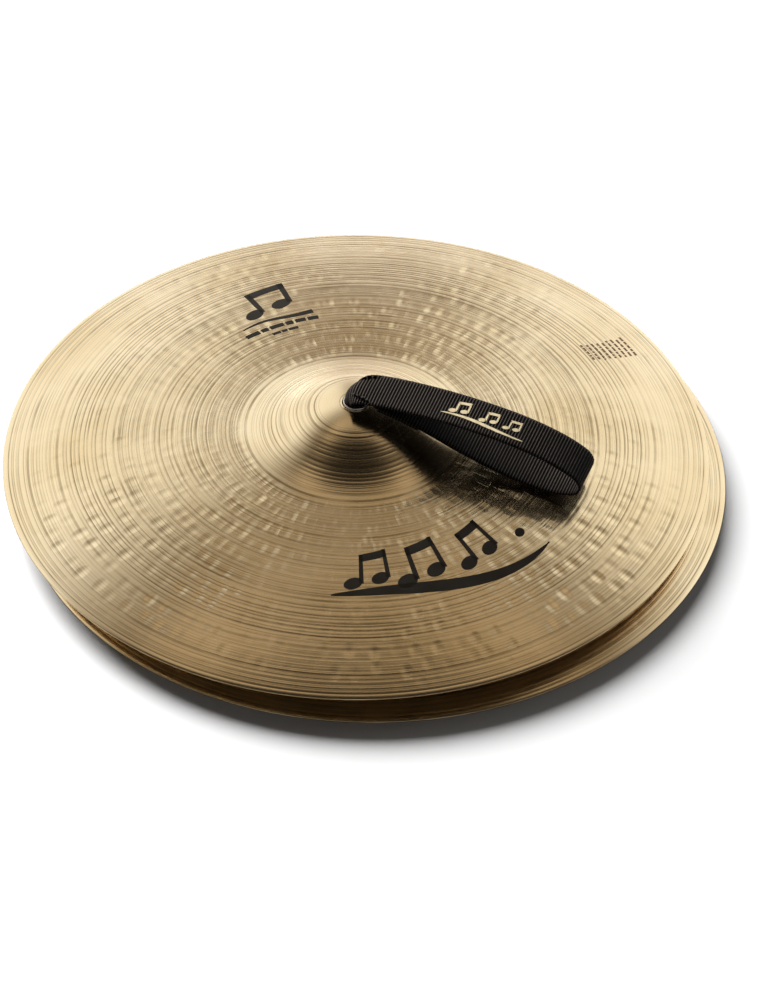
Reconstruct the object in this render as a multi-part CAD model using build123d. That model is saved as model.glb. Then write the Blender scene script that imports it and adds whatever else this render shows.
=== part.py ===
"""A pair of hand cymbals, stacked bell up, each with a webbing hand strap.

Each cymbal is a hammered bronze plate with a hole in its bell.  A steel sleeve stands in the hole,
with a leather washer above its flange, inside the bell.  A webbing strap runs up through the sleeve:
a toggle pin holds its lower bight under the flange, and its upper part is the hand loop.

The frame has +Z up and its origin on the floor, midway between the two cymbals' axes.
Units are millimetres.  A strap is drawn in its own frame: the cymbal's axis is Z, the rim's
underside is Z = 0, the loop points along +X and the webbing's width lies along Y.
"""

import math
import os

from build123d import *

# Plates.
CYMBAL_RADIUS = 203.2
RIM_THICKNESS = 0.9
BOW_THICKNESS = 1.15
BELL_THICKNESS = 1.6
RIM_FLAT = 1.2
BOW_MIDDLE = (135.0, 19.4)
BELL_BASE = (57.9, 28.6)
BELL_APEX = 49.8
BELL_DOME_RADIUS = 75.0
BELL_FLANK_START = 36.0
BELL_BASE_FILLET = 22.0
HOLE_RADIUS = 7.94

# How the pair is stacked: the upper cymbal stands this far above the lower, and off its axis.
STACK_RISE = 17.3
AXIS_OFFSET = 9.5
UPPER_STRAP_ANGLE = -18.5
LOWER_STRAP_ANGLE = 161.5

# Hardware inside the bell.
RUNNING_GAP = 0.3
WASHER_THICKNESS = 1.8
WASHER_RADIUS = 19.0
SLEEVE_RADIUS = 7.0
SLEEVE_BORE = 6.4
SLEEVE_LIP_RADIUS = 7.45
SLEEVE_LIP_RISE = 0.8
FLANGE_RADIUS = 12.0
FLANGE_THICKNESS = 0.7
PIN_RADIUS = 2.0
PIN_LENGTH = 28.0
PIN_END_ROUND = 0.9

# Webbing.
WEBBING_WIDTH = 27.0
WEBBING_THICKNESS = 1.6
SIDE_STATION_PITCH = 5.0
STEM_RADIUS = 6.0
BIGHT_LENGTH = 13.0
STEM_ABOVE_LIP = 0.2

# The upper strap: its neck ends in a round head, and the loop swings about that head's axis.
UPPER_PIVOT = (3.0, 56.4)
UPPER_HEAD_RADIUS = 5.6
SWING_GAP = 0.35
UPPER_LOOP_LINE = [
    (5.0, 61.3),
    (16.0, 61.8),
    (34.0, 61.6),
    (52.0, 60.9),
    (75.0, 58.2),
    (98.0, 54.2),
    (117.0, 48.6),
    (130.0, 42.8),
    (137.6, 37.4),
    (139.6, 32.2),
    (137.4, 27.8),
    (131.0, 25.6),
    (119.0, 25.0),
    (104.0, 27.7),
    (86.0, 33.2),
    (71.0, 38.6),
    (54.0, 46.1),
    (43.0, 51.0),
    (34.0, 54.4),
    (25.0, 57.4),
    (16.0, 59.3),
    (10.0, 59.7),
]
UPPER_GUSSET = (9.5, 15.0)
UPPER_LAP_POINTS = UPPER_LOOP_LINE[-5:-1]
LAP_BED = 0.06

# The lower strap lies flat on its own bell and bow, in the space between the two cymbals.
LOWER_PIVOT = (-3.5, 52.75)
LOWER_HEAD_RADIUS = 1.9
LAY_GAP = 0.55
LOWER_LIP_REACH = 8.8
LOWER_STATIONS = [17.0, 25.0, 34.0, 44.0, 52.0, 59.0, 66.0, 76.0, 92.0, 110.0, 124.0]
LOWER_TIP_REACH = 7.0
EYE_START = 20.0
EYE_HEIGHT = 4.4
GATHER_HEIGHT = 1.7
GATHER_END = 34.0
LAP_STATIONS = [20.0, 28.0, 36.0, 46.0]

# Seam stitches.
STITCH_LENGTH = 2.4
STITCH_PITCH = 3.2
STITCH_WIDTH = 0.7
STITCH_HEIGHT = 0.3
SEAM_MARGIN = 0.08
SEAM_HALF_WIDTH = 9.5

ACROSS = (0, 1, 0)


def circle_drop(radius, reach):
    """How far a dome of this radius has fallen at this distance from its axis."""
    return radius - math.sqrt(radius**2 - reach**2)


def flank_slope():
    """The bell's straight flank is tangent to its dome."""
    return BELL_FLANK_START / math.sqrt(BELL_DOME_RADIUS**2 - BELL_FLANK_START**2)


def bow_arc(base, middle, rim):
    """The circle through three points of the bow, as its centre and radius in the radial plane."""
    arc = ThreePointArc((base[0], 0, base[1]), (middle[0], 0, middle[1]), (rim[0], 0, rim[1]))
    return arc.arc_center, arc.radius


def top_height(reach):
    """Height of a plate's top face above its rim's underside, at this distance from its axis."""
    if reach <= BELL_FLANK_START:
        return BELL_APEX - circle_drop(BELL_DOME_RADIUS, reach)
    dome_end = BELL_APEX - circle_drop(BELL_DOME_RADIUS, BELL_FLANK_START)
    if reach <= BELL_BASE[0]:
        return dome_end - flank_slope() * (reach - BELL_FLANK_START)
    centre, radius = bow_arc(BELL_BASE, BOW_MIDDLE, (CYMBAL_RADIUS, RIM_THICKNESS))
    return centre.Z + math.sqrt(radius**2 - (reach - centre.X) ** 2)


def radial_face(points_and_edges):
    """A flat face in the radial plane from its boundary edges."""
    return Face(Wire(points_and_edges))


def cymbal_plate():
    """The bronze plate: domed bell with straight flanks, arched bow, thin rim and a centre hole."""
    slope = flank_slope()
    lean = math.atan(slope)
    inner_dome = BELL_DOME_RADIUS - BELL_THICKNESS
    inner_apex = BELL_APEX - BELL_THICKNESS
    inner_start = inner_dome * math.sin(lean)

    def dome_point(apex, radius, reach):
        return (reach, 0, apex - circle_drop(radius, reach))

    top_dome = ThreePointArc(
        dome_point(BELL_APEX, BELL_DOME_RADIUS, HOLE_RADIUS),
        dome_point(BELL_APEX, BELL_DOME_RADIUS, BELL_FLANK_START / 2 + HOLE_RADIUS / 2),
        dome_point(BELL_APEX, BELL_DOME_RADIUS, BELL_FLANK_START),
    )
    base = (BELL_BASE[0], 0, top_height(BELL_BASE[0]))
    top_flank = Line(top_dome @ 1, base)
    rim_top = (CYMBAL_RADIUS, 0, RIM_THICKNESS)
    top_bow = ThreePointArc(base, (BOW_MIDDLE[0], 0, top_height(BOW_MIDDLE[0])), rim_top)

    under_dome = ThreePointArc(
        dome_point(inner_apex, inner_dome, HOLE_RADIUS),
        dome_point(inner_apex, inner_dome, inner_start / 2 + HOLE_RADIUS / 2),
        dome_point(inner_apex, inner_dome, inner_start),
    )
    base_drop = BELL_THICKNESS / math.cos(lean)
    under_base = (base[0] - base_drop * 0.2, 0, base[2] - base_drop + 0.2 * base_drop * slope)
    under_flank = Line(under_dome @ 1, under_base)
    flat_start = (CYMBAL_RADIUS - RIM_FLAT, 0, 0)
    under_middle = (BOW_MIDDLE[0], 0, top_height(BOW_MIDDLE[0]) - BOW_THICKNESS * 1.03)
    under_bow = ThreePointArc(under_base, under_middle, flat_start)

    rim_flat = Line(flat_start, (CYMBAL_RADIUS, 0, 0))
    rim_edge = Line((CYMBAL_RADIUS, 0, 0), rim_top)
    hole_edge = Line(under_dome @ 0, top_dome @ 0)
    outline = [top_dome, top_flank, top_bow, rim_edge, rim_flat, under_bow, under_flank, under_dome, hole_edge]
    plate = revolve(radial_face(outline), Axis.Z)

    corners = [
        edge
        for edge in plate.edges().filter_by(GeomType.CIRCLE)
        if abs(edge.radius - BELL_BASE[0]) < 1.0
    ]
    return fillet(corners, BELL_BASE_FILLET)


def dished_ring(gap_below_plate, thickness, inner_radius, outer_radius):
    """A ring that follows the inside of the bell, this far under it."""
    top_radius = BELL_DOME_RADIUS - BELL_THICKNESS - gap_below_plate
    top_apex = BELL_APEX - BELL_THICKNESS - gap_below_plate
    middle = (inner_radius + outer_radius) / 2

    def arc(apex, radius):
        points = [(reach, 0, apex - circle_drop(radius, reach)) for reach in (inner_radius, middle, outer_radius)]
        return ThreePointArc(*points)

    top = arc(top_apex, top_radius)
    under = arc(top_apex - thickness, top_radius - thickness)
    outline = [top, Line(top @ 1, under @ 1), under, Line(under @ 0, top @ 0)]
    return revolve(radial_face(outline), Axis.Z)


def washer():
    """Leather washer between the bell and the sleeve's flange."""
    return dished_ring(RUNNING_GAP, WASHER_THICKNESS, SLEEVE_RADIUS, WASHER_RADIUS)


def flange_depth():
    """From the plate's underside down to the top of the sleeve's flange."""
    return RUNNING_GAP + WASHER_THICKNESS


def flange_underside(reach):
    """Height of the flange's underside at this distance from the axis."""
    depth = BELL_THICKNESS + flange_depth() + FLANGE_THICKNESS
    return BELL_APEX - depth - circle_drop(BELL_DOME_RADIUS - depth, reach)


def lip_height():
    """Top of the sleeve's rolled lip, just above the edge of the hole."""
    return top_height(HOLE_RADIUS) + SLEEVE_LIP_RISE


def sleeve():
    """Steel sleeve: dished flange below, thin wall through the hole, rolled lip on top."""
    flange = dished_ring(flange_depth(), FLANGE_THICKNESS, SLEEVE_BORE, FLANGE_RADIUS)
    foot = flange_underside(SLEEVE_BORE) + FLANGE_THICKNESS / 2
    lip_radius = (SLEEVE_LIP_RADIUS - SLEEVE_BORE) / 2
    lip_centre = lip_height() - lip_radius
    wall = Pos(0, 0, foot) * Cylinder(
        SLEEVE_RADIUS, lip_centre - foot, align=(Align.CENTER, Align.CENTER, Align.MIN)
    )
    bore = Pos(0, 0, foot) * Cylinder(
        SLEEVE_BORE, lip_centre - foot, align=(Align.CENTER, Align.CENTER, Align.MIN)
    )
    lip = Pos(0, 0, lip_centre) * Torus(SLEEVE_BORE + lip_radius, lip_radius)
    return flange + (wall - bore) + lip


def pin_height():
    """The toggle pin bears on the outer edge of the flange."""
    return flange_underside(FLANGE_RADIUS) - PIN_RADIUS


def toggle_pin():
    """Straight steel pin with rounded ends, lying across the webbing's width."""
    pin = Pos(0, 0, pin_height()) * Rot(90, 0, 0) * Cylinder(PIN_RADIUS, PIN_LENGTH)
    return fillet(pin.edges().filter_by(GeomType.CIRCLE), PIN_END_ROUND)


def strap_stem(top):
    """The gathered webbing inside the sleeve, with the bight that holds the pin."""
    under_flange = flange_underside(FLANGE_RADIUS)
    bight_radius = PIN_RADIUS + WEBBING_THICKNESS
    bight = Pos(0, 0, pin_height()) * Rot(90, 0, 0) * Cylinder(bight_radius, BIGHT_LENGTH)
    bight &= Pos(0, 0, under_flange) * Box(
        4 * bight_radius,
        2 * BIGHT_LENGTH,
        4 * bight_radius,
        align=(Align.CENTER, Align.CENTER, Align.MAX),
    )
    stem = Pos(0, 0, under_flange) * Cylinder(
        STEM_RADIUS, top - under_flange, align=(Align.CENTER, Align.CENTER, Align.MIN)
    )
    pin_hole = Pos(0, 0, pin_height()) * Rot(90, 0, 0) * Cylinder(PIN_RADIUS, PIN_LENGTH)
    return bight + stem - pin_hole


def upper_strap_neck():
    """The upper strap from its pin to the bend above the hole, which ends in a round head."""
    stem_top = lip_height() + STEM_ABOVE_LIP
    pivot_x, pivot_z = UPPER_PIVOT
    half_width = WEBBING_WIDTH / 2 - SWING_GAP
    stem = strap_stem(stem_top)
    fan = loft(
        [
            Pos(0, 0, stem_top) * Circle(STEM_RADIUS),
            Pos(pivot_x, 0, pivot_z) * Ellipse(UPPER_HEAD_RADIUS, half_width),
        ]
    )
    head = Pos(pivot_x, 0, pivot_z) * Rot(90, 0, 0) * Cylinder(UPPER_HEAD_RADIUS, 2 * half_width)
    head &= Pos(pivot_x, 0, pivot_z - 1.0) * Box(
        4 * UPPER_HEAD_RADIUS, 4 * half_width, 20, align=(Align.CENTER, Align.CENTER, Align.MIN)
    )
    return stem + fan + head


def lower_strap_neck():
    """The lower strap from its pin to the low knuckle that its flattened loop swings about."""
    stem_top = lip_height() + STEM_ABOVE_LIP
    pivot_x, pivot_z = LOWER_PIVOT
    stem = strap_stem(stem_top)
    knuckle = Pos(pivot_x, 0, pivot_z) * Rot(90, 0, 0) * Cylinder(LOWER_HEAD_RADIUS, 2 * STEM_RADIUS)
    root = Pos(pivot_x, 0, stem_top) * Box(
        2 * LOWER_HEAD_RADIUS * 0.9,
        STEM_RADIUS,
        pivot_z - stem_top,
        align=(Align.CENTER, Align.CENTER, Align.MIN),
    )
    return stem + knuckle + root


def radial_spline(points):
    """A smooth line in the XZ plane through these points."""
    return Spline(*[(x, 0, z) for x, z in points])


def side_spline(middle, offset):
    """The spline beside a line of webbing, this far to the left of its direction of travel."""
    stations = max(8, round(middle.length / SIDE_STATION_PITCH))
    points = []
    for index in range(stations + 1):
        share = index / stations
        tangent = middle.tangent_at(share)
        left = Vector(-tangent.Z, 0, tangent.X)
        points.append(middle.position_at(share) + left * offset)
    return Spline(*points)


def webbing_run(middle):
    """One run of webbing along a line in the XZ plane, the line being the middle of its thickness."""
    left = side_spline(middle, WEBBING_THICKNESS / 2)
    right = side_spline(middle, -WEBBING_THICKNESS / 2)
    outline = [left, Line(left @ 1, right @ 1), right, Line(right @ 0, left @ 0)]
    return extrude(radial_face(outline), amount=WEBBING_WIDTH / 2, dir=ACROSS, both=True)


def upper_strap_loop():
    """The open hand loop, with the lap of its seam under the lower run, by the neck."""
    loop = webbing_run(radial_spline(UPPER_LOOP_LINE))
    lap = webbing_run(upper_lap_line())
    gusset_start, gusset_end = UPPER_GUSSET
    gusset = Pos(0, 0, UPPER_LOOP_LINE[-1][1]) * Box(
        gusset_end - gusset_start,
        WEBBING_WIDTH,
        2.2,
        align=(Align.MIN, Align.CENTER, Align.MIN),
    )
    gusset = Pos(gusset_start, 0, 0) * gusset
    swing_space = Pos(UPPER_PIVOT[0], 0, UPPER_PIVOT[1]) * Rot(90, 0, 0) * Cylinder(
        UPPER_HEAD_RADIUS + SWING_GAP, 2 * WEBBING_WIDTH
    )
    return loop + lap + gusset - swing_space


def upper_lap_line():
    """Middle of the lap that lies under the open loop's lower run."""
    return side_spline(radial_spline(UPPER_LAP_POINTS), WEBBING_THICKNESS - LAP_BED)


def eye_gap(reach):
    """Space between the two runs of the flattened loop, widest towards its tip."""
    if reach <= EYE_START:
        return 0.0
    share = (reach - EYE_START) / (LOWER_STATIONS[-1] - EYE_START)
    return EYE_HEIGHT * share


def gathered(reach):
    """Extra height where the webbing is gathered near the neck."""
    share = max(0.0, 1.0 - reach / GATHER_END)
    return GATHER_HEIGHT * share


def lower_floor(reach):
    """Underside of the flattened loop: level over the sleeve's lip, then just above the plate."""
    if reach <= LOWER_LIP_REACH:
        return lip_height() + STEM_ABOVE_LIP + SWING_GAP
    return top_height(reach) + LAY_GAP


def lower_outline():
    """The flattened loop's lower and upper faces and its tip, as points in the XZ plane."""
    start = LOWER_PIVOT[0] + LOWER_HEAD_RADIUS + SWING_GAP
    reaches = [start, (start + LOWER_LIP_REACH) / 2, LOWER_LIP_REACH] + LOWER_STATIONS
    floor = []
    roof = []
    for reach in reaches:
        height = lower_floor(max(reach, 0.0))
        floor.append((reach, height))
        stack = 2 * WEBBING_THICKNESS + eye_gap(reach) + gathered(max(reach, 0.0))
        roof.append((reach, height + stack))
    return floor, roof


def lower_strap_loop():
    """The flattened hand loop, with an eye towards its tip and its seam's lap on the upper run."""
    floor, roof = lower_outline()
    under = radial_spline(floor)
    over = radial_spline(roof)
    tip_middle = (under @ 1 + over @ 1) / 2 + (under % 1) * LOWER_TIP_REACH
    tip = Spline(under @ 1, tip_middle, over @ 1, tangents=[under % 1, -(over % 1)])
    outer = radial_face([under, tip, over, Line(over @ 0, under @ 0)])
    solid = extrude(outer, amount=WEBBING_WIDTH / 2, dir=ACROSS, both=True)

    eye_reaches = [reach for reach in LOWER_STATIONS if reach > LAP_STATIONS[-1]]
    eye_floor = [(reach, lower_floor(reach) + WEBBING_THICKNESS) for reach in eye_reaches]
    eye_under = radial_spline(eye_floor)
    eye_over = radial_spline([(x, z + eye_gap(x)) for x, z in eye_floor])
    eye_tip = (eye_under @ 1 + eye_over @ 1) / 2 + (eye_under % 1) * (LOWER_TIP_REACH - WEBBING_THICKNESS)
    eye_end = Spline(eye_under @ 1, eye_tip, eye_over @ 1, tangents=[eye_under % 1, -(eye_over % 1)])
    eye = radial_face([eye_under, eye_end, eye_over, Line(eye_over @ 0, eye_under @ 0)])
    solid -= extrude(eye, amount=WEBBING_WIDTH, dir=ACROSS, both=True)

    swing_space = Pos(LOWER_PIVOT[0], 0, LOWER_PIVOT[1]) * Rot(90, 0, 0) * Cylinder(
        LOWER_HEAD_RADIUS + SWING_GAP, 2 * WEBBING_WIDTH
    )
    return solid + webbing_run(lower_lap_line()) - swing_space


def lower_lap_line():
    """Middle of the lap that lies on the flattened loop's upper run."""
    points = []
    for reach in LAP_STATIONS:
        stack = 2 * WEBBING_THICKNESS + eye_gap(reach) + gathered(reach)
        points.append((reach, lower_floor(reach) + stack + WEBBING_THICKNESS / 2 - LAP_BED))
    return radial_spline(points)


def seam_stitches(middle):
    """A boxed cross of thread on the outer face of a lap, to the left of its line."""
    length = middle.length
    first = SEAM_MARGIN
    last = 1.0 - SEAM_MARGIN
    count = int((last - first) * length / STITCH_PITCH)
    stitches = []

    def place(share, across, turn):
        tangent = middle.tangent_at(share)
        here = middle.position_at(share)
        slope = math.degrees(math.atan2(tangent.Z, tangent.X))
        left = Vector(-tangent.Z, 0, tangent.X) * (WEBBING_THICKNESS + STITCH_HEIGHT) / 2
        spot = here + left + Vector(0, across, 0)
        thread = Box(STITCH_LENGTH, STITCH_WIDTH, STITCH_HEIGHT)
        stitches.append(Pos(spot.X, spot.Y, spot.Z) * Rot(0, -slope, 0) * Rot(0, 0, turn) * thread)

    for index in range(count + 1):
        share = first + (last - first) * index / count
        for across in (-SEAM_HALF_WIDTH, SEAM_HALF_WIDTH):
            place(share, across, 0)
    rows = int(2 * SEAM_HALF_WIDTH / STITCH_PITCH)
    for index in range(1, rows):
        across = -SEAM_HALF_WIDTH + 2 * SEAM_HALF_WIDTH * index / rows
        place(first, across, 90)
        place(last, across, 90)
    cross_angle = math.degrees(math.atan2(2 * SEAM_HALF_WIDTH, (last - first) * length))
    for index in range(1, count):
        share = first + (last - first) * index / count
        across = -SEAM_HALF_WIDTH + 2 * SEAM_HALF_WIDTH * index / count
        place(share, across, cross_angle)
        if abs(across) > STITCH_LENGTH:
            place(share, -across, -cross_angle)
    return Compound(children=stitches)


def place_cymbal(shape, side, angle=0.0):
    """Move a shape from a cymbal's own frame to its place in the stacked pair."""
    if side == "upper":
        return Pos(-AXIS_OFFSET / 2, 0, STACK_RISE) * Rot(0, 0, angle) * shape
    return Pos(AXIS_OFFSET / 2, 0, 0) * Rot(0, 0, angle) * shape


def build():
    """Every node of the pair, by name."""
    nodes = {}
    sides = {
        "upper": (UPPER_STRAP_ANGLE, upper_strap_neck, upper_strap_loop, upper_lap_line),
        "lower": (LOWER_STRAP_ANGLE, lower_strap_neck, lower_strap_loop, lower_lap_line),
    }
    for side, (angle, neck, loop, lap_line) in sides.items():
        nodes[f"{side}_cymbal"] = place_cymbal(cymbal_plate(), side)
        nodes[f"{side}_sleeve"] = place_cymbal(sleeve(), side)
        nodes[f"{side}_washer"] = place_cymbal(washer(), side)
        nodes[f"{side}_toggle_pin"] = place_cymbal(toggle_pin(), side, angle)
        nodes[f"{side}_strap_neck"] = place_cymbal(neck(), side, angle)
        nodes[f"{side}_strap_loop"] = place_cymbal(loop(), side, angle)
        nodes[f"{side}_strap_stitching"] = place_cymbal(seam_stitches(lap_line()), side, angle)
    return nodes


os.makedirs("parts", exist_ok=True)
for name, shape in build().items():
    export_step(shape, f"parts/{name}.step")
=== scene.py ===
"""Looks of a pair of hand cymbals: turned and hammered bronze plates with webbing hand straps.

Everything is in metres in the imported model's frame.  Each cymbal's own frame has its origin on the
cymbal's axis at the height of the rim's underside; a strap's own frame is the cymbal's, turned so
that the loop points along +X, with the webbing's width along Y.
"""

import logging
import math
from dataclasses import dataclass, field
from enum import Enum
from typing import Any, Callable

import bmesh
import bpy
import numpy as np
from mathutils import Matrix, Vector

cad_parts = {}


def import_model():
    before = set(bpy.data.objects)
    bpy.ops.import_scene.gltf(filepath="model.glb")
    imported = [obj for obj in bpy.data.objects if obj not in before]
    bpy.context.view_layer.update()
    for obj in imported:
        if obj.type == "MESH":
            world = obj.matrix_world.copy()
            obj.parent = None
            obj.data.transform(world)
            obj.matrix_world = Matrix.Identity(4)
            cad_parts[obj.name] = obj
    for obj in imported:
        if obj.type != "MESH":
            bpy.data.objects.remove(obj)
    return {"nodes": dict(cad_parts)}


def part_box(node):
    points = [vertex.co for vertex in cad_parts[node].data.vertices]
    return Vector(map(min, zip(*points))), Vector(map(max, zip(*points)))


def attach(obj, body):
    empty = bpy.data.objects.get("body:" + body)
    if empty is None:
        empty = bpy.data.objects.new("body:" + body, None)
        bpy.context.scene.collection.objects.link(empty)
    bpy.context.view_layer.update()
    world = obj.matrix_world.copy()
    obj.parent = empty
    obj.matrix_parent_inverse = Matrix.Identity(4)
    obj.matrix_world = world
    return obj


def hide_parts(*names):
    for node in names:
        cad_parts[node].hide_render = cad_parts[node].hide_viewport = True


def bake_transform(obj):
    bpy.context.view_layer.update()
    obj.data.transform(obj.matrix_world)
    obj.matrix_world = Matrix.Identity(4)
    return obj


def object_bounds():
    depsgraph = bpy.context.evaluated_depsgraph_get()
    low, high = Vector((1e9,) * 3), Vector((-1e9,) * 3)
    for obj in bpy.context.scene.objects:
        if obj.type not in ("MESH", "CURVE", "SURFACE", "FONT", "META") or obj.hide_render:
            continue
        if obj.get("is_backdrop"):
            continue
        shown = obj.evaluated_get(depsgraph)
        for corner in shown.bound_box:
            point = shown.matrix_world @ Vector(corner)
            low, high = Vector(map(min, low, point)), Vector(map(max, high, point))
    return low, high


LOG = logging.getLogger("hand_cymbals")
MM = 0.001
Point = tuple[float, float]
Point3 = tuple[float, float, float]
Colour = tuple[float, float, float, float]
SurfacePlace = Callable[[float, float, float], Vector]


class Side(Enum):
    """Which of the two stacked cymbals a piece belongs to."""

    UPPER = "upper"
    LOWER = "lower"

    def node(self, part: str) -> str:
        """The name of this cymbal's node or body for a part."""
        return f"{self.value}_{part}"


class Graph:
    """Writes nodes and links into one shader or geometry node tree."""

    def __init__(self, tree: bpy.types.NodeTree) -> None:
        """Start writing into a tree."""
        self.tree = tree

    def feed(self, socket: bpy.types.NodeSocket, source: Any) -> None:
        """Link a socket to another socket, or set its own value.

        Args:
            socket: The input socket to fill.
            source: An output socket, or a plain value.
        """
        if isinstance(source, bpy.types.NodeSocket):
            self.tree.links.new(source, socket)
        else:
            socket.default_value = source

    def node(self, kind: str, inputs: dict[Any, Any] | None = None, **settings: Any) -> bpy.types.Node:
        """Add one node.

        Args:
            kind: The node's bl_idname.
            inputs: Values or sockets for its inputs, by name or number.
            **settings: Properties of the node itself.

        Returns:
            The new node.
        """
        made = self.tree.nodes.new(kind)
        for name, value in settings.items():
            setattr(made, name, value)
        for key, value in (inputs or {}).items():
            self.feed(made.inputs[key], value)
        return made

    def math(self, operation: str, *values: Any, clamp: bool = False) -> bpy.types.NodeSocket:
        """A Math node's result.

        Args:
            operation: The Math node's operation.
            *values: One to three numbers or sockets.
            clamp: Whether the result is held between 0 and 1.

        Returns:
            The result socket.
        """
        return self.node("ShaderNodeMath", dict(enumerate(values)), operation=operation,
                         use_clamp=clamp).outputs[0]

    def product(self, *values: Any) -> bpy.types.NodeSocket:
        """Two or more numbers or sockets multiplied.

        Args:
            *values: The factors, in order.

        Returns:
            The result socket.
        """
        result = values[0]
        for value in values[1:]:
            result = self.math("MULTIPLY", result, value)
        return result

    def vector(self, operation: str, *values: Any, output: str = "Vector") -> bpy.types.NodeSocket:
        """A Vector Math node's result.

        Args:
            operation: The Vector Math node's operation.
            *values: One to three vectors or sockets.
            output: The name of the wanted output.

        Returns:
            The result socket.
        """
        made = self.node("ShaderNodeVectorMath", dict(enumerate(values)), operation=operation)
        return made.outputs[output]

    def span(self, value: Any, low: float, high: float, to_low: float = 0.0, to_high: float = 1.0,
             smooth: bool = True) -> bpy.types.NodeSocket:
        """A value mapped from one range to another, held at both ends.

        Args:
            value: The value to map.
            low: Where the source range starts.
            high: Where the source range ends.
            to_low: The result at low.
            to_high: The result at high.
            smooth: Whether the ends are eased.

        Returns:
            The result socket.
        """
        kind = "SMOOTHSTEP" if smooth else "LINEAR"
        inputs = {"Value": value, "From Min": low, "From Max": high, "To Min": to_low, "To Max": to_high}
        return self.node("ShaderNodeMapRange", inputs, interpolation_type=kind).outputs["Result"]

    def noise(self, vector: Any, scale: float, detail: float = 2.0, w: Any = None,
              dimensions: str = "3D") -> bpy.types.NodeSocket:
        """A noise value between 0 and 1.

        Args:
            vector: Where it is read, unless it is one-dimensional.
            scale: Waves per metre, roughly.
            detail: Octaves.
            w: Where a one-dimensional noise is read.
            dimensions: The Noise Texture's dimensions.

        Returns:
            The noise's factor socket.
        """
        made = self.node("ShaderNodeTexNoise", None, noise_dimensions=dimensions)
        for key, value in {"Scale": scale, "Detail": detail, "W": w, "Vector": vector}.items():
            if value is not None:
                self.feed(made.inputs[key], value)
        return made.outputs[0]

    def stored(self, name: str) -> bpy.types.NodeSocket:
        """A number that a mesh stores at its vertices, read by a shader.

        Args:
            name: The attribute's name.

        Returns:
            The value socket.
        """
        return self.node("ShaderNodeAttribute", None, attribute_name=name).outputs["Fac"]

    def blend_colour(self, share: Any, first: Any, second: Any) -> bpy.types.NodeSocket:
        """Two colours mixed.

        Args:
            share: How much of the second, 0 to 1.
            first: A colour or socket.
            second: A colour or socket.

        Returns:
            The result socket.
        """
        made = self.node("ShaderNodeMix", None, data_type="RGBA")
        self.feed(made.inputs["Factor"], share)
        self.feed(made.inputs[6], first)
        self.feed(made.inputs[7], second)
        return made.outputs[2]


def rgba(red: float, green: float, blue: float) -> Colour:
    """An opaque linear colour."""
    return (red, green, blue, 1.0)


def shader_group(name: str, inputs: dict[str, tuple[str, Any]],
                 outputs: dict[str, str]) -> tuple[Graph, Any, Any]:
    """Start a shader node group with named sockets.

    Args:
        name: The group's name.
        inputs: Socket type and default value by name.
        outputs: Socket type by name.

    Returns:
        The group's graph, its input node and its output node.
    """
    tree = bpy.data.node_groups.new(name, "ShaderNodeTree")
    for title, (kind, value) in inputs.items():
        socket = tree.interface.new_socket(title, in_out="INPUT", socket_type=kind)
        socket.default_value = value
    for title, kind in outputs.items():
        tree.interface.new_socket(title, in_out="OUTPUT", socket_type=kind)
    graph = Graph(tree)
    return graph, graph.node("NodeGroupInput"), graph.node("NodeGroupOutput")


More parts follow.
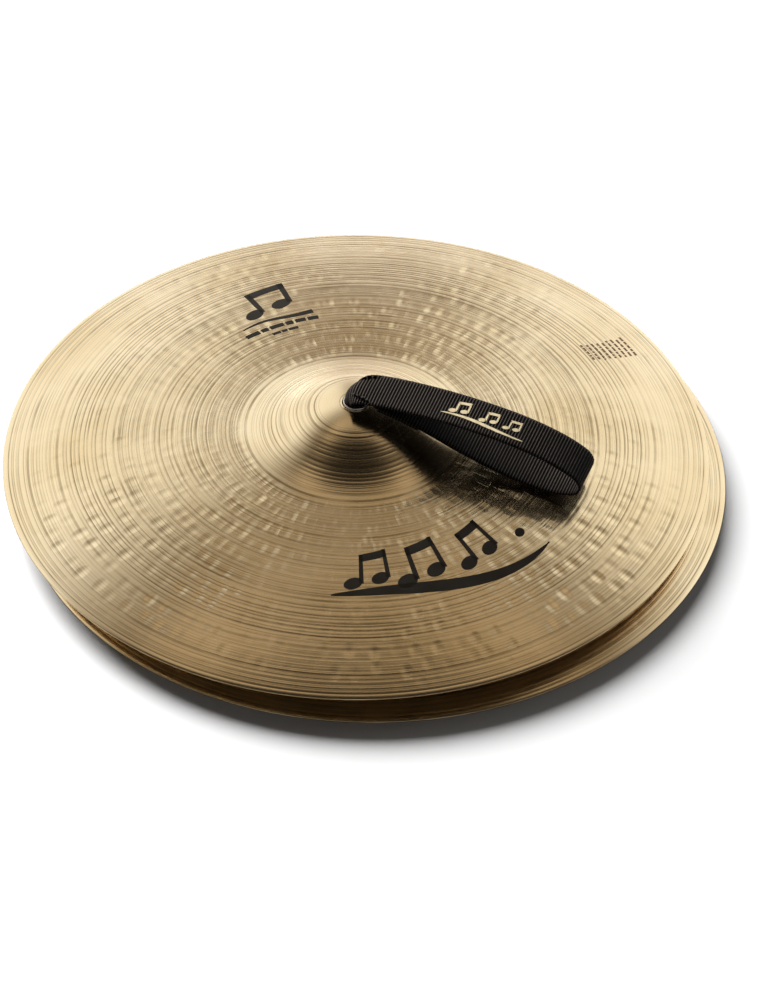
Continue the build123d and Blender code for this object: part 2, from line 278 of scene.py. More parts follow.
class SharedGroups:
    """The shader node groups that more than one finish uses, each built once."""

    def __init__(self) -> None:
        """Build every group."""
        self.turning = self._turning()
        self.hammering = self._hammering()
        self.smudge = self._smudge()
        self.weave = self._weave()

    @staticmethod
    def _turning() -> bpy.types.NodeTree:
        """Fine lathe lines round an axis: height, painted shade for the valleys, streaks, radius and the way
        outward.
        """
        graph, given, made = shader_group(
            "lathe_turning",
            {
                "Centre": ("NodeSocketVector", (0.0, 0.0, 0.0)),
                "Line Pitch": ("NodeSocketFloat", 0.0024),
                "Fine Pitch": ("NodeSocketFloat", 0.0007),
            },
            {
                "Height": "NodeSocketFloat",
                "Valley Shade": "NodeSocketFloat",
                "Streak": "NodeSocketFloat",
                "Radius": "NodeSocketFloat",
                "Outward": "NodeSocketVector",
            },
        )
        place = graph.node("ShaderNodeTexCoord").outputs["Object"]
        flat = graph.vector("MULTIPLY", graph.vector("SUBTRACT", place, given.outputs["Centre"]), (1, 1, 0))
        radius = graph.vector("LENGTH", flat, output="Value")
        line_at = graph.math("DIVIDE", radius, given.outputs["Line Pitch"])
        line = graph.noise(None, 1.0, 1.0, w=line_at, dimensions="1D")
        fine_at = graph.math("DIVIDE", radius, given.outputs["Fine Pitch"])
        fine = graph.noise(None, 1.0, 1.0, w=fine_at, dimensions="1D")
        zone = graph.noise(None, 70.0, 1.0, w=radius, dimensions="1D")
        strength = graph.span(zone, 0.36, 0.62, 0.35, 1.0)
        height = graph.product(graph.math("SUBTRACT", line, 0.5), strength)
        height = graph.math("ADD", height, graph.product(graph.math("SUBTRACT", fine, 0.5), 0.4))
        streak = graph.span(graph.noise(place, 30.0, 2.0), 0.34, 0.62, 0.3, 1.0)
        # Painted shade: how far the colour is darkened in the low parts of the lathe lines.
        valley_shade = graph.product(graph.span(line, 0.5, 0.3), strength)
        thin = graph.product(graph.span(fine, 0.46, 0.32), 0.4)
        both = graph.math("MAXIMUM", valley_shade, thin)
        graph.feed(made.inputs["Height"], height)
        graph.feed(made.inputs["Valley Shade"], graph.product(both, streak))
        graph.feed(made.inputs["Streak"], streak)
        graph.feed(made.inputs["Radius"], radius)
        outward = graph.node("ShaderNodeVectorTransform", {0: flat}, vector_type="VECTOR",
                             convert_from="OBJECT", convert_to="WORLD").outputs[0]
        graph.feed(made.inputs["Outward"], graph.vector("NORMALIZE", outward))
        return graph.tree

    @staticmethod
    def _hammering() -> bpy.types.NodeTree:
        """Rows of hammer marks round an axis: how deep the surface lies, 0 to 1."""
        graph, given, made = shader_group(
            "hammer_marks",
            {
                "Centre": ("NodeSocketVector", (0.0, 0.0, 0.0)),
                "Row Pitch": ("NodeSocketFloat", 0.0128),
                "Marks Round": ("NodeSocketFloat", 88.0),
                "Mark Length": ("NodeSocketFloat", 0.0066),
                "Mark Width": ("NodeSocketFloat", 0.0045),
                "Jitter": ("NodeSocketFloat", 0.42),
            },
            {"Depth": "NodeSocketFloat"},
        )
        place = graph.node("ShaderNodeTexCoord").outputs["Object"]
        flat = graph.vector("MULTIPLY", graph.vector("SUBTRACT", place, given.outputs["Centre"]), (1, 1, 0))
        radius = graph.vector("LENGTH", flat, output="Value")
        split = graph.node("ShaderNodeSeparateXYZ", {0: flat})
        turn = graph.math("DIVIDE", graph.math("ARCTAN2", split.outputs[1], split.outputs[0]), math.tau)
        round_count = given.outputs["Marks Round"]
        across = graph.math("DIVIDE", radius, given.outputs["Row Pitch"])
        row = graph.math("FLOOR", across)
        shift = graph.node("ShaderNodeTexWhiteNoise", {"W": row}, noise_dimensions="1D").outputs["Value"]
        along = graph.math("ADD", graph.product(turn, round_count), shift)
        cell = graph.math("WRAP", graph.math("FLOOR", along), round_count, 0.0)
        key = graph.node("ShaderNodeCombineXYZ", {0: row, 1: cell}).outputs[0]
        dice = graph.node("ShaderNodeTexWhiteNoise", {"Vector": key}, noise_dimensions="3D").outputs["Color"]
        thrown = graph.node("ShaderNodeSeparateXYZ", {0: dice})

        def from_middle(value: Any, throw: Any, step: Any, half: Any) -> bpy.types.NodeSocket:
            """Distance from a thrown mark's middle, as a share of its half size."""
            jitter = graph.product(graph.math("SUBTRACT", throw, 0.5), given.outputs["Jitter"])
            inside = graph.math("SUBTRACT", graph.math("FRACT", value), graph.math("ADD", jitter, 0.5))
            return graph.math("DIVIDE", graph.product(inside, step), half)

        step_round = graph.math("DIVIDE", graph.product(radius, math.tau), round_count)
        away = from_middle(across, thrown.outputs[0], given.outputs["Row Pitch"],
                           given.outputs["Mark Length"])
        aside = from_middle(along, thrown.outputs[1], step_round, given.outputs["Mark Width"])
        squares = graph.math("ADD", graph.product(away, away), graph.product(aside, aside))
        far = graph.math("SQRT", squares)
        depth = graph.span(far, 1.0, 0.0)
        weight = graph.span(thrown.outputs[2], 0.0, 1.0, 0.35, 1.0)
        area = graph.span(graph.noise(place, 13.0, 1.0), 0.36, 0.6, 0.35, 1.0)
        struck = graph.product(graph.span(radius, 0.060, 0.068), graph.span(radius, 0.199, 0.188))
        graph.feed(made.inputs["Depth"], graph.product(depth, weight, area, struck))
        return graph.tree

    @staticmethod
    def _smudge() -> bpy.types.NodeTree:
        """Soft uneven patches, as handling and lacquer leave them."""
        graph, given, made = shader_group(
            "soft_smudge",
            {"Scale": ("NodeSocketFloat", 12.0), "Contrast": ("NodeSocketFloat", 1.0)},
            {"Patch": "NodeSocketFloat", "Grain": "NodeSocketFloat"},
        )
        place = graph.node("ShaderNodeTexCoord").outputs["Object"]
        cloud = graph.node("ShaderNodeTexNoise",
                           {"Vector": place, "Scale": given.outputs["Scale"], "Detail": 3.0})
        centred = graph.math("SUBTRACT", cloud.outputs[0], 0.5)
        patch = graph.math("ADD", graph.product(centred, given.outputs["Contrast"]), 0.5, clamp=True)
        graph.feed(made.inputs["Patch"], patch)
        graph.feed(made.inputs["Grain"], graph.noise(place, 1500.0, 2.0))
        return graph.tree

    @staticmethod
    def _weave() -> bpy.types.NodeTree:
        """Twisted yarn lying along each rib of webbing, read from the strap's own lengthwise map."""
        graph, given, made = shader_group(
            "rib_weave",
            {"Rib Pitch": ("NodeSocketFloat", 0.0017), "Yarn Pitch": ("NodeSocketFloat", 0.0011)},
            {"Height": "NodeSocketFloat", "Crest Highlight": "NodeSocketFloat", "Fuzz": "NodeSocketFloat"},
        )
        strap_map = graph.node("ShaderNodeUVMap", None, uv_map="strap")
        split = graph.node("ShaderNodeSeparateXYZ", {0: strap_map.outputs[0]})
        along = graph.math("DIVIDE", split.outputs[0], given.outputs["Rib Pitch"])
        crest_and_highlight = graph.math("ABSOLUTE", graph.math("SINE", graph.product(along, math.pi)))
        row = graph.product(graph.math("FLOOR", along), 0.5)
        across = graph.math("ADD", graph.math("DIVIDE", split.outputs[1], given.outputs["Yarn Pitch"]), row)
        twist = graph.math("ABSOLUTE", graph.math("SINE", graph.product(across, math.pi)))
        place = graph.node("ShaderNodeTexCoord").outputs["Object"]
        fuzz = graph.noise(place, 2600.0, 2.0)
        height = graph.math("ADD", graph.product(twist, 0.6), graph.product(fuzz, 0.5))
        graph.feed(made.inputs["Height"], graph.product(height, crest_and_highlight))
        # The rib crests, which the webbing's finish lightens as a painted highlight.
        graph.feed(made.inputs["Crest Highlight"], crest_and_highlight)
        graph.feed(made.inputs["Fuzz"], fuzz)
        return graph.tree


def new_material(name: str) -> tuple[bpy.types.Material, Graph, bpy.types.Node]:
    """An empty node material with a Principled shader.

    Args:
        name: The material's name.

    Returns:
        The material, its graph and its Principled node.
    """
    material = bpy.data.materials.new(name)
    material.use_nodes = True
    return material, Graph(material.node_tree), material.node_tree.nodes["Principled BSDF"]


@dataclass(frozen=True)
class BronzeFinish:
    """Turned, hammered and lacquered bell bronze, with painted shade in its groove valleys and on its rim's
    edge. Pitches are in metres and depths in millimetres.
    """

    bright: Colour = rgba(0.98, 0.81, 0.54)
    aged: Colour = rgba(0.88, 0.68, 0.39)
    # The colour of the painted shade in the groove valleys and on the rim's edge.
    valley_shade: Colour = rgba(0.20, 0.13, 0.055)
    metallic: float = 1.0
    roughness: float = 0.2
    stretch: float = 0.8
    line_pitch: float = 0.0019
    fine_pitch: float = 0.0008
    line_depth: float = 0.1
    mark_depth: float = 0.25
    valley_shade_share: float = 0.7
    patch_scale: float = 16.0
    patch_contrast: float = 1.8
    polished_radius: float = 0.0215
    polished_edge: float = 0.001

    def material(self, name: str, groups: SharedGroups, centre: Vector) -> bpy.types.Material:
        """Make the finish for a plate turned about one axis.

        Args:
            name: The material's name.
            groups: The shared node groups.
            centre: A point on the plate's axis.

        Returns:
            The material.
        """
        material, graph, bsdf = new_material(name)
        turned = graph.node("ShaderNodeGroup", None, node_tree=groups.turning)
        graph.feed(turned.inputs["Centre"], tuple(centre))
        graph.feed(turned.inputs["Line Pitch"], self.line_pitch)
        graph.feed(turned.inputs["Fine Pitch"], self.fine_pitch)
        smudge = graph.node("ShaderNodeGroup", None, node_tree=groups.smudge)
        graph.feed(smudge.inputs["Scale"], self.patch_scale)
        graph.feed(smudge.inputs["Contrast"], self.patch_contrast)
        cut = graph.span(turned.outputs["Radius"], self.polished_radius - self.polished_edge,
                         self.polished_radius + self.polished_edge)
        # Painted shade: the low parts of the lathe lines and the stored grooves, with the rim's edge, blend
        # towards the valley colour.
        valley_shade = graph.product(turned.outputs["Valley Shade"], cut, self.valley_shade_share)
        groove = graph.product(graph.stored("groove"), graph.span(turned.outputs["Streak"], 0, 1, 0.5, 1.0))
        dark = graph.math("MAXIMUM", valley_shade, groove)
        base = graph.blend_colour(smudge.outputs["Patch"], self.bright, self.aged)
        graph.feed(bsdf.inputs["Base Color"], graph.blend_colour(dark, base, self.valley_shade))
        bsdf.inputs["Metallic"].default_value = self.metallic
        rough = graph.span(smudge.outputs["Patch"], 0.0, 1.0, self.roughness - 0.02, self.roughness + 0.04)
        graph.feed(bsdf.inputs["Roughness"], rough)
        lines = graph.product(turned.outputs["Height"], graph.span(cut, 0.0, 1.0, 0.15, 1.0))
        hammered = graph.node("ShaderNodeGroup", None, node_tree=groups.hammering)
        graph.feed(hammered.inputs["Centre"], tuple(centre))
        height = graph.math("SUBTRACT", graph.product(lines, self.line_depth),
                            graph.product(hammered.outputs["Depth"], self.mark_depth))
        bump = graph.node("ShaderNodeBump", {"Height": height, "Distance": MM, "Strength": 1.0})
        graph.feed(bsdf.inputs["Normal"], bump.outputs[0])
        graph.feed(bsdf.inputs["Tangent"], turned.outputs["Outward"])
        bsdf.inputs["Anisotropic"].default_value = self.stretch
        return material


@dataclass(frozen=True)
class WebbingFinish:
    """Ribbed black nylon webbing, with a painted highlight on the rib crests."""

    yarn: Colour = rgba(0.0003, 0.00025, 0.0002)
    # The colour of the painted highlight on the rib crests.
    crest_and_highlight: Colour = rgba(0.024, 0.0198, 0.0168)
    highlight_sharpness: float = 14.0
    roughness: Point = (0.42, 0.62)
    gloss: float = 0.03
    rib_pitch: float = 0.0018
    yarn_pitch: float = 0.0012
    yarn_depth: float = 0.00018

    def material(self, name: str, groups: SharedGroups) -> bpy.types.Material:
        """Make the finish.

        Args:
            name: The material's name.
            groups: The shared node groups.

        Returns:
            The material.
        """
        material, graph, bsdf = new_material(name)
        weave = graph.node("ShaderNodeGroup", None, node_tree=groups.weave)
        graph.feed(weave.inputs["Rib Pitch"], self.rib_pitch)
        graph.feed(weave.inputs["Yarn Pitch"], self.yarn_pitch)
        # Painted highlight: thin lines along the rib crests are lightened to the crest colour.
        crest_highlight_mask = graph.math("POWER", weave.outputs["Crest Highlight"], self.highlight_sharpness)
        colour = graph.blend_colour(crest_highlight_mask, self.yarn, self.crest_and_highlight)
        graph.feed(bsdf.inputs["Base Color"], colour)
        graph.feed(bsdf.inputs["Roughness"], graph.span(weave.outputs["Fuzz"], 0.3, 0.7, *self.roughness))
        bump = graph.node("ShaderNodeBump", {"Height": weave.outputs["Height"], "Distance": self.yarn_depth})
        graph.feed(bsdf.inputs["Normal"], bump.outputs[0])
        bsdf.inputs["Specular IOR Level"].default_value = self.gloss
        return material


@dataclass(frozen=True)
class PlainFinish:
    """A finish of one colour with patches, grain and a fine bump."""

    light: Colour
    dark: Colour
    metallic: float = 0.0
    roughness: float = 0.5
    patch_scale: float = 60.0
    patch_contrast: float = 2.0
    patch_sheen: float = 0.06
    grain_depth: float = 0.00004
    gloss: float = 0.5

    def material(self, name: str, groups: SharedGroups) -> bpy.types.Material:
        """Make the finish.

        Args:
            name: The material's name.
            groups: The shared node groups.

        Returns:
            The material.
        """
        material, graph, bsdf = new_material(name)
        smudge = graph.node("ShaderNodeGroup", None, node_tree=groups.smudge)
        graph.feed(smudge.inputs["Scale"], self.patch_scale)
        graph.feed(smudge.inputs["Contrast"], self.patch_contrast)
        colour = graph.blend_colour(smudge.outputs["Patch"], self.light, self.dark)
        graph.feed(bsdf.inputs["Base Color"], colour)
        bsdf.inputs["Metallic"].default_value = self.metallic
        bsdf.inputs["Specular IOR Level"].default_value = self.gloss
        rough = graph.span(smudge.outputs["Patch"], 0.0, 1.0, self.roughness - self.patch_sheen,
                           self.roughness + self.patch_sheen)
        graph.feed(bsdf.inputs["Roughness"], rough)
        bump = graph.node("ShaderNodeBump", {"Height": smudge.outputs["Grain"], "Distance": self.grain_depth})
        graph.feed(bsdf.inputs["Normal"], bump.outputs[0])
        return material


STEEL = PlainFinish(rgba(0.66, 0.64, 0.60), rgba(0.5, 0.48, 0.44), metallic=1.0, roughness=0.28)
LEATHER = PlainFinish(rgba(0.15, 0.08, 0.037), rgba(0.085, 0.042, 0.02), roughness=0.6, grain_depth=0.00012)
THREAD = PlainFinish(rgba(0.016, 0.015, 0.014), rgba(0.009, 0.008, 0.008), roughness=0.55)
INK = PlainFinish(rgba(0.0018, 0.0014, 0.001), rgba(0.004, 0.0032, 0.0024), grain_depth=0.00001, gloss=0.1)
ETCHING = PlainFinish(rgba(0.02, 0.01, 0.005), rgba(0.04, 0.022, 0.011), grain_depth=0.00001, gloss=0.2)
CREAM_PRINT = PlainFinish(rgba(0.17, 0.142, 0.09), rgba(0.115, 0.093, 0.056), roughness=0.6,
                          patch_scale=300.0, grain_depth=0.0001, gloss=0.2)


def mesh_object(name: str, vertices: np.ndarray, faces: list, smooth: bool = True) -> bpy.types.Object:
    """Make a mesh object at the origin and link it to the scene.

    Args:
        name: The object's name.
        vertices: Points, one row each.
        faces: Vertex numbers of each face.
        smooth: Whether it is shaded smooth.

    Returns:
        The new object.
    """
    mesh = bpy.data.meshes.new(name)
    mesh.from_pydata([tuple(map(float, point)) for point in vertices], [], [list(map(int, f)) for f in faces])
    mesh.polygons.foreach_set("use_smooth", [smooth] * len(mesh.polygons))
    mesh.update()
    made = bpy.data.objects.new(name, mesh)
    bpy.context.scene.collection.objects.link(made)
    return made


def recalculate_normals(piece: bpy.types.Object) -> None:
    """Make every face of a closed mesh point outwards."""
    work = bmesh.new()
    work.from_mesh(piece.data)
    bmesh.ops.recalc_face_normals(work, faces=work.faces)
    work.to_mesh(piece.data)
    work.free()


def float_attribute(piece: bpy.types.Object, name: str, values: np.ndarray) -> None:
    """Store one number at each vertex of a mesh.

    Args:
        piece: The mesh object.
        name: The attribute's name.
        values: One number for each vertex.
    """
    attribute = piece.data.attributes.new(name, "FLOAT", "POINT")
    attribute.data.foreach_set("value", np.asarray(values, np.float32))


def geometry_tree(name: str, inputs: dict[str, tuple[str, Any]]) -> tuple[Graph, Any, Any]:
    """Start a geometry node tree with a geometry input, a geometry output and named inputs.

    Args:
        name: The tree's name.
        inputs: Socket type and default value by name.

    Returns:
        The tree's graph, its input node and its output node.
    """
    tree = bpy.data.node_groups.new(name, "GeometryNodeTree")
    tree.interface.new_socket("Geometry", in_out="INPUT", socket_type="NodeSocketGeometry")
    for title, (kind, value) in inputs.items():
        socket = tree.interface.new_socket(title, in_out="INPUT", socket_type=kind)
        if value is not None:
            socket.default_value = value
    tree.interface.new_socket("Geometry", in_out="OUTPUT", socket_type="NodeSocketGeometry")
    graph = Graph(tree)
    return graph, graph.node("NodeGroupInput"), graph.node("NodeGroupOutput")


def grow(piece: bpy.types.Object, tree: bpy.types.NodeTree, values: dict[str, Any]) -> bpy.types.Object:
    """Run a geometry tree on a piece and keep the result as its plain mesh.

    Args:
        piece: The mesh object the tree starts from.
        tree: The geometry node tree.
        values: The tree's inputs by name.

    Returns:
        The same object, with its new mesh and no modifier.
    """
    modifier = piece.modifiers.new(tree.name, "NODES")
    modifier.node_group = tree
    for item in tree.interface.items_tree:
        if item.item_type == "SOCKET" and item.in_out == "INPUT" and item.name in values:
            modifier[item.identifier] = values[item.name]
    depsgraph = bpy.context.evaluated_depsgraph_get()
    grown = bpy.data.meshes.new_from_object(piece.evaluated_get(depsgraph), depsgraph=depsgraph)
    piece.modifiers.remove(modifier)
    old = piece.data
    piece.data = grown
    piece.data.name = piece.name
    bpy.data.meshes.remove(old)
    return piece


def read_attribute(graph: Graph, name: str) -> bpy.types.NodeSocket:
    """A named number from the geometry's points."""
    read = graph.node("GeometryNodeInputNamedAttribute", {"Name": name}, data_type="FLOAT")
    return read.outputs["Attribute"]


def push_and_dress(graph: Graph, given: bpy.types.Node, made: bpy.types.Node, height: Any) -> None:
    """End a geometry tree: move the points along their normals, then give the mesh its finish.

    Args:
        graph: The tree's graph.
        given: The tree's input node.
        made: The tree's output node.
        height: How far outward each point moves.
    """
    normal = graph.node("GeometryNodeInputNormal").outputs[0]
    push = graph.node("ShaderNodeVectorMath", {0: normal, "Scale": height}, operation="SCALE")
    moved = graph.node("GeometryNodeSetPosition",
                       {"Geometry": given.outputs["Geometry"], "Offset": push.outputs[0]})
    whole = graph.node("GeometryNodeRealizeInstances", {0: moved.outputs[0]})
    dressed = graph.node("GeometryNodeSetMaterial",
                         {0: whole.outputs[0], "Material": given.outputs["Finish"]})
    graph.feed(made.inputs[0], dressed.outputs[0])


def turned_plate_tree() -> bpy.types.NodeTree:
    """The tree that cuts lathe grooves and hammer marks into a smooth plate.

    Returns:
        The tree. It reads groove, the share of the groove's depth, and face, 1 on the top face.
    """
    graph, given, made = geometry_tree(
        "turned_plate",
        {
            "Groove Depth": ("NodeSocketFloat", 0.12 * MM),
            "Mark Depth": ("NodeSocketFloat", 0.10 * MM),
            "Mark Radius": ("NodeSocketFloat", 5.2 * MM),
            "First Row": ("NodeSocketFloat", 69 * MM),
            "Row Pitch": ("NodeSocketFloat", 12.6 * MM),
            "Rows": ("NodeSocketInt", 10),
            "Marks Per Row": ("NodeSocketInt", 62),
            "Centre": ("NodeSocketVector", (0.0, 0.0, 0.0)),
            "Seed": ("NodeSocketInt", 7),
            "Finish": ("NodeSocketMaterial", None),
        },
    )
    place = graph.node("GeometryNodeInputPosition").outputs[0]
    groove = graph.product(read_attribute(graph, "groove"), given.outputs["Groove Depth"])

    number = graph.node("GeometryNodeInputIndex").outputs[0]
    per_row = given.outputs["Marks Per Row"]
    row = graph.math("FLOOR", graph.math("DIVIDE", number, per_row))

    def spread(shift: int, amount: float) -> bpy.types.NodeSocket:
        """A seeded random number for each mark, between minus and plus an amount."""
        seed = graph.math("ADD", given.outputs["Seed"], shift)
        made_random = graph.node("FunctionNodeRandomValue", {"Seed": seed}, data_type="FLOAT")
        graph.feed(made_random.inputs[2], -amount)
        graph.feed(made_random.inputs[3], amount)
        return made_random.outputs[1]

    ring = graph.math("ADD", given.outputs["First Row"], graph.product(row, given.outputs["Row Pitch"]))
    ring = graph.math("ADD", ring, spread(0, 3.6 * MM))
    turn = graph.math("DIVIDE", graph.product(number, math.tau), per_row)
    turn = graph.math("ADD", graph.math("ADD", turn, spread(5, 0.02)), graph.product(row, 0.71))
    spot = graph.node(
        "ShaderNodeCombineXYZ",
        {
            0: graph.product(ring, graph.math("COSINE", turn)),
            1: graph.product(ring, graph.math("SINE", turn)),
        },
    ).outputs[0]
    count = graph.product(given.outputs["Rows"], per_row)
    marks = graph.node("GeometryNodePoints", {"Count": count, "Position": spot, "Radius": 1 * MM})
    flat = graph.vector("MULTIPLY", graph.vector("SUBTRACT", place, given.outputs["Centre"]), (1.0, 1.0, 0.0))
    near = graph.node("GeometryNodeProximity", None, target_element="POINTS")
    graph.feed(near.inputs[0], marks.outputs[0])
    graph.feed(near.inputs["Sample Position"], flat)
    share = graph.math("DIVIDE", near.outputs["Distance"], given.outputs["Mark Radius"])
    strength = graph.span(graph.noise(place, 20.0, 1.0), 0.35, 0.65, 0.35, 1.25)
    dimple = graph.product(graph.span(share, 1.0, 0.0), given.outputs["Mark Depth"], strength)

    depth = graph.product(graph.math("ADD", groove, dimple), read_attribute(graph, "face"), -1.0)
    push_and_dress(graph, given, made, depth)
    return graph.tree


@dataclass(frozen=True)
class GrooveZone:
    """A band of the plate where the turning tool left grooves of about one pitch.

    Start, end and pitch are in millimetres. Depth is a share of the tree's groove depth, and wander
    the spread of the pitch as a share of it.
    """

    start: float
    end: float
    pitch: float
    depth: float
    wander: float = 0.12


GROOVE_ZONES = (
    GrooveZone(24.0, 57.0, 2.5, 0.9),
    GrooveZone(60.0, 84.0, 2.8, 0.35, 0.3),
    GrooveZone(86.0, 112.0, 2.7, 0.55, 0.3),
    GrooveZone(113.0, 134.0, 2.5, 0.75, 0.3),
    GrooveZone(134.5, 166.0, 2.6, 1.0, 0.3),
    GrooveZone(168.0, 184.0, 2.9, 0.45, 0.2),
    GrooveZone(185.5, 202.0, 2.9, 1.0, 0.05),
)


HAMMER_SEEDS = {Side.UPPER: 7, Side.LOWER: 23}


@dataclass
class Cymbal:
    """One bronze plate, turned about its own axis. Lengths are in millimetres until a mesh is made."""

    side: Side
    radius: float = 203.2
    rim_thickness: float = 0.9
    bow_thickness: float = 1.18
    bell_thickness: float = 1.6
    rim_flat: float = 1.2
    bow_middle: Point = (135.0, 19.4)
    bell_base: Point = (57.9, 28.6)
    bell_apex: float = 49.8
    dome_radius: float = 75.0
    flank_start: float = 36.0
    base_fillet: float = 62.0
    hole_radius: float = 7.94
    segments: int = 300
    edge_round: float = 0.25
    plain_end: float = 22.5
    plain_rings: int = 9
    groove_half_width: float = 0.5
    narrowest_ring: float = 0.2
    under_rings: int = 46
    groove_seed: int = 11
    origin: Vector = field(init=False)

    def __post_init__(self) -> None:
        """Find the plate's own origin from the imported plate."""
        low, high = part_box(self.side.node("cymbal"))
        self.origin = Vector(((low.x + high.x) / 2, (low.y + high.y) / 2, low.z))

    @property
    def flank_slope(self) -> float:
        """The straight flank is tangent to the dome."""
        return self.flank_start / math.sqrt(self.dome_radius**2 - self.flank_start**2)

    def _bow_circle(self, middle: Point, base: Point, rim: Point) -> tuple[float, float, float]:
        """The circle through three points.

        Args:
            middle: A point between the other two.
            base: The point at the bell.
            rim: The point at the rim.

        Returns:
            The centre's reach and height, and the radius.
        """
        rows = [(2 * x, 2 * z, 1.0) for x, z in (base, middle, rim)]
        squares = [x * x + z * z for x, z in (base, middle, rim)]
        across, up, rest = np.linalg.solve(np.array(rows), np.array(squares))
        return across, up, math.sqrt(rest + across * across + up * up)

    def top(self, reach: float) -> float:
        """Height of the top face above the rim's underside.

        Args:
            reach: Distance from the axis.

        Returns:
            The height, in millimetres.
        """
        dome = self.bell_apex - self.dome_radius + math.sqrt(
            max(0.0, self.dome_radius**2 - min(reach, self.flank_start) ** 2)
        )
        flank = dome - self.flank_slope * max(0.0, reach - self.flank_start)
        if reach <= self.flank_start:
            return flank
        across, up, bend = self._bow_circle(self.bow_middle, self.bell_base,
                                            (self.radius, self.rim_thickness))
        bow = up + math.sqrt(bend * bend - (reach - across) ** 2)
        turn_in = math.atan(self.flank_slope) - math.asin((self.bell_base[0] - across) / bend)
        reach_in = self.base_fillet * math.tan(turn_in / 2)
        share = (reach - self.bell_base[0]) / reach_in
        if abs(share) >= 1.0:
            return flank if share < 0 else bow
        corner = reach_in * math.tan(turn_in) / 4 * (1 - abs(share)) ** 2
        return (flank if share < 0 else bow) + corner

    def thickness(self, reach: float) -> float:
        """Thickness of the plate at this distance from its axis."""
        stations = (0.0, self.flank_start, 75.0, self.bow_middle[0], self.radius)
        sizes = (self.bell_thickness, self.bell_thickness, 1.45, self.bow_thickness, self.rim_thickness)
        return float(np.interp(reach, stations, sizes))

    def point(self, reach: float, turn: float, lift: float = 0.0) -> Vector:
        """A point on the top face, in the model's frame.

        Args:
            reach: Distance from the axis.
            turn: Angle from +X, in radians.
            lift: Height above the face.

        Returns:
            The point, in metres.
        """
        spot = Vector((reach * math.cos(turn), reach * math.sin(turn), self.top(reach) + lift))
        return self.origin + spot * MM

    def rings(self) -> list[Point]:
        """Where the top face has its rings of vertices, and the share of a groove's depth at each.

        Returns:
            Reach and groove share, from the hole to the rim.
        """
        dice = np.random.default_rng(self.groove_seed)
        plain = np.linspace(self.hole_radius + self.edge_round, self.plain_end, self.plain_rings)
        stations = [(reach, 0.0) for reach in plain]
        half = self.groove_half_width
        for zone in GROOVE_ZONES:
            reach = zone.start
            while reach < zone.end:
                share = zone.depth * float(dice.uniform(0.3, 1.05))
                stations += [(reach - half, 0.0), (reach, share), (reach + half, 0.0)]
                step = zone.pitch * (1 + zone.wander * float(dice.normal()))
                if step > 3 * half:
                    stations.append((reach + step / 2, 0.0))
                reach += max(step, 2.4 * half)
        stations = sorted(spot for spot in stations if spot[0] < self.radius - 2 * self.edge_round)
        kept = [stations[0]]
        for spot in stations[1:]:
            if spot[0] - kept[-1][0] >= self.narrowest_ring:
                kept.append(spot)
        return kept + [(self.radius - self.edge_round, 0.0)]

    def _profile(self) -> tuple[list[Point], list[Point]]:
        """The top face from the hole to the rim, and the underside from the rim back to the hole.

        Returns:
            Both lines as reach and height.
        """
        edge = self.edge_round
        top = [(reach, self.top(reach)) for reach, _ in self.rings()]
        inner_edge = self.radius - self.rim_flat
        under = [(self.radius - edge, 0.0), (inner_edge, 0.0)]
        for reach in np.linspace(inner_edge, self.hole_radius + edge, self.under_rings)[1:]:
            under.append((reach, max(0.0, self.top(reach) - self.thickness(reach))))
        rim = [(self.radius, self.rim_thickness * 0.7), (self.radius, self.rim_thickness * 0.3)]
        hole_top = self.top(self.hole_radius)
        hole = [
            (self.hole_radius, hole_top - self.bell_thickness + edge),
            (self.hole_radius, hole_top - edge),
        ]
        return top, rim + under + hole

    def build(self, tree: bpy.types.NodeTree, finish: bpy.types.Material) -> bpy.types.Object:
        """Make the plate.

        Args:
            tree: The geometry tree that cuts grooves and hammer marks.
            finish: The bronze.

        Returns:
            The finished plate, riding on its body.
        """
        top, rest = self._profile()
        outline = top + rest
        count = self.segments
        turns = np.arange(count) * math.tau / count
        cosines, sines = np.cos(turns), np.sin(turns)
        rows = []
        for reach, height in outline:
            rows.append(np.stack([reach * cosines, reach * sines, np.full(count, height)], axis=1))
        points = np.concatenate(rows) * MM + np.array(self.origin)
        faces = []
        for ring in range(len(outline)):
            following = (ring + 1) % len(outline)
            for step in range(count):
                ahead = (step + 1) % count
                faces.append((ring * count + step, following * count + step,
                              following * count + ahead, ring * count + ahead))
        plate = mesh_object(self.side.node("bronze_plate"), points, faces)
        recalculate_normals(plate)
        # Painted shade on the rim's edge: its two rows get a full groove share, which only darkens their
        # colour.
        rim_edge_shade = [1.0, 1.0]
        grooves = [share for _, share in self.rings()] + rim_edge_shade + [0.0] * (len(rest) - len(rim_edge_shade))
        float_attribute(plate, "groove", np.repeat(grooves, count))
        float_attribute(plate, "face", np.repeat([1.0] * len(top) + [0.0] * len(rest), count))
        plate.data.materials.append(finish)
        grow(plate, tree, {"Centre": tuple(self.origin), "Seed": HAMMER_SEEDS[self.side], "Finish": finish})
        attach(plate, self.side.node("cymbal"))
        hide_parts(self.side.node("cymbal"))
        return plate


@dataclass
class StrapStation:
    """One place along a strap: where the webbing's middle is and how far its width is gathered."""

    x: float
    z: float
    curl: float = 0.0
    width: float = 1.0


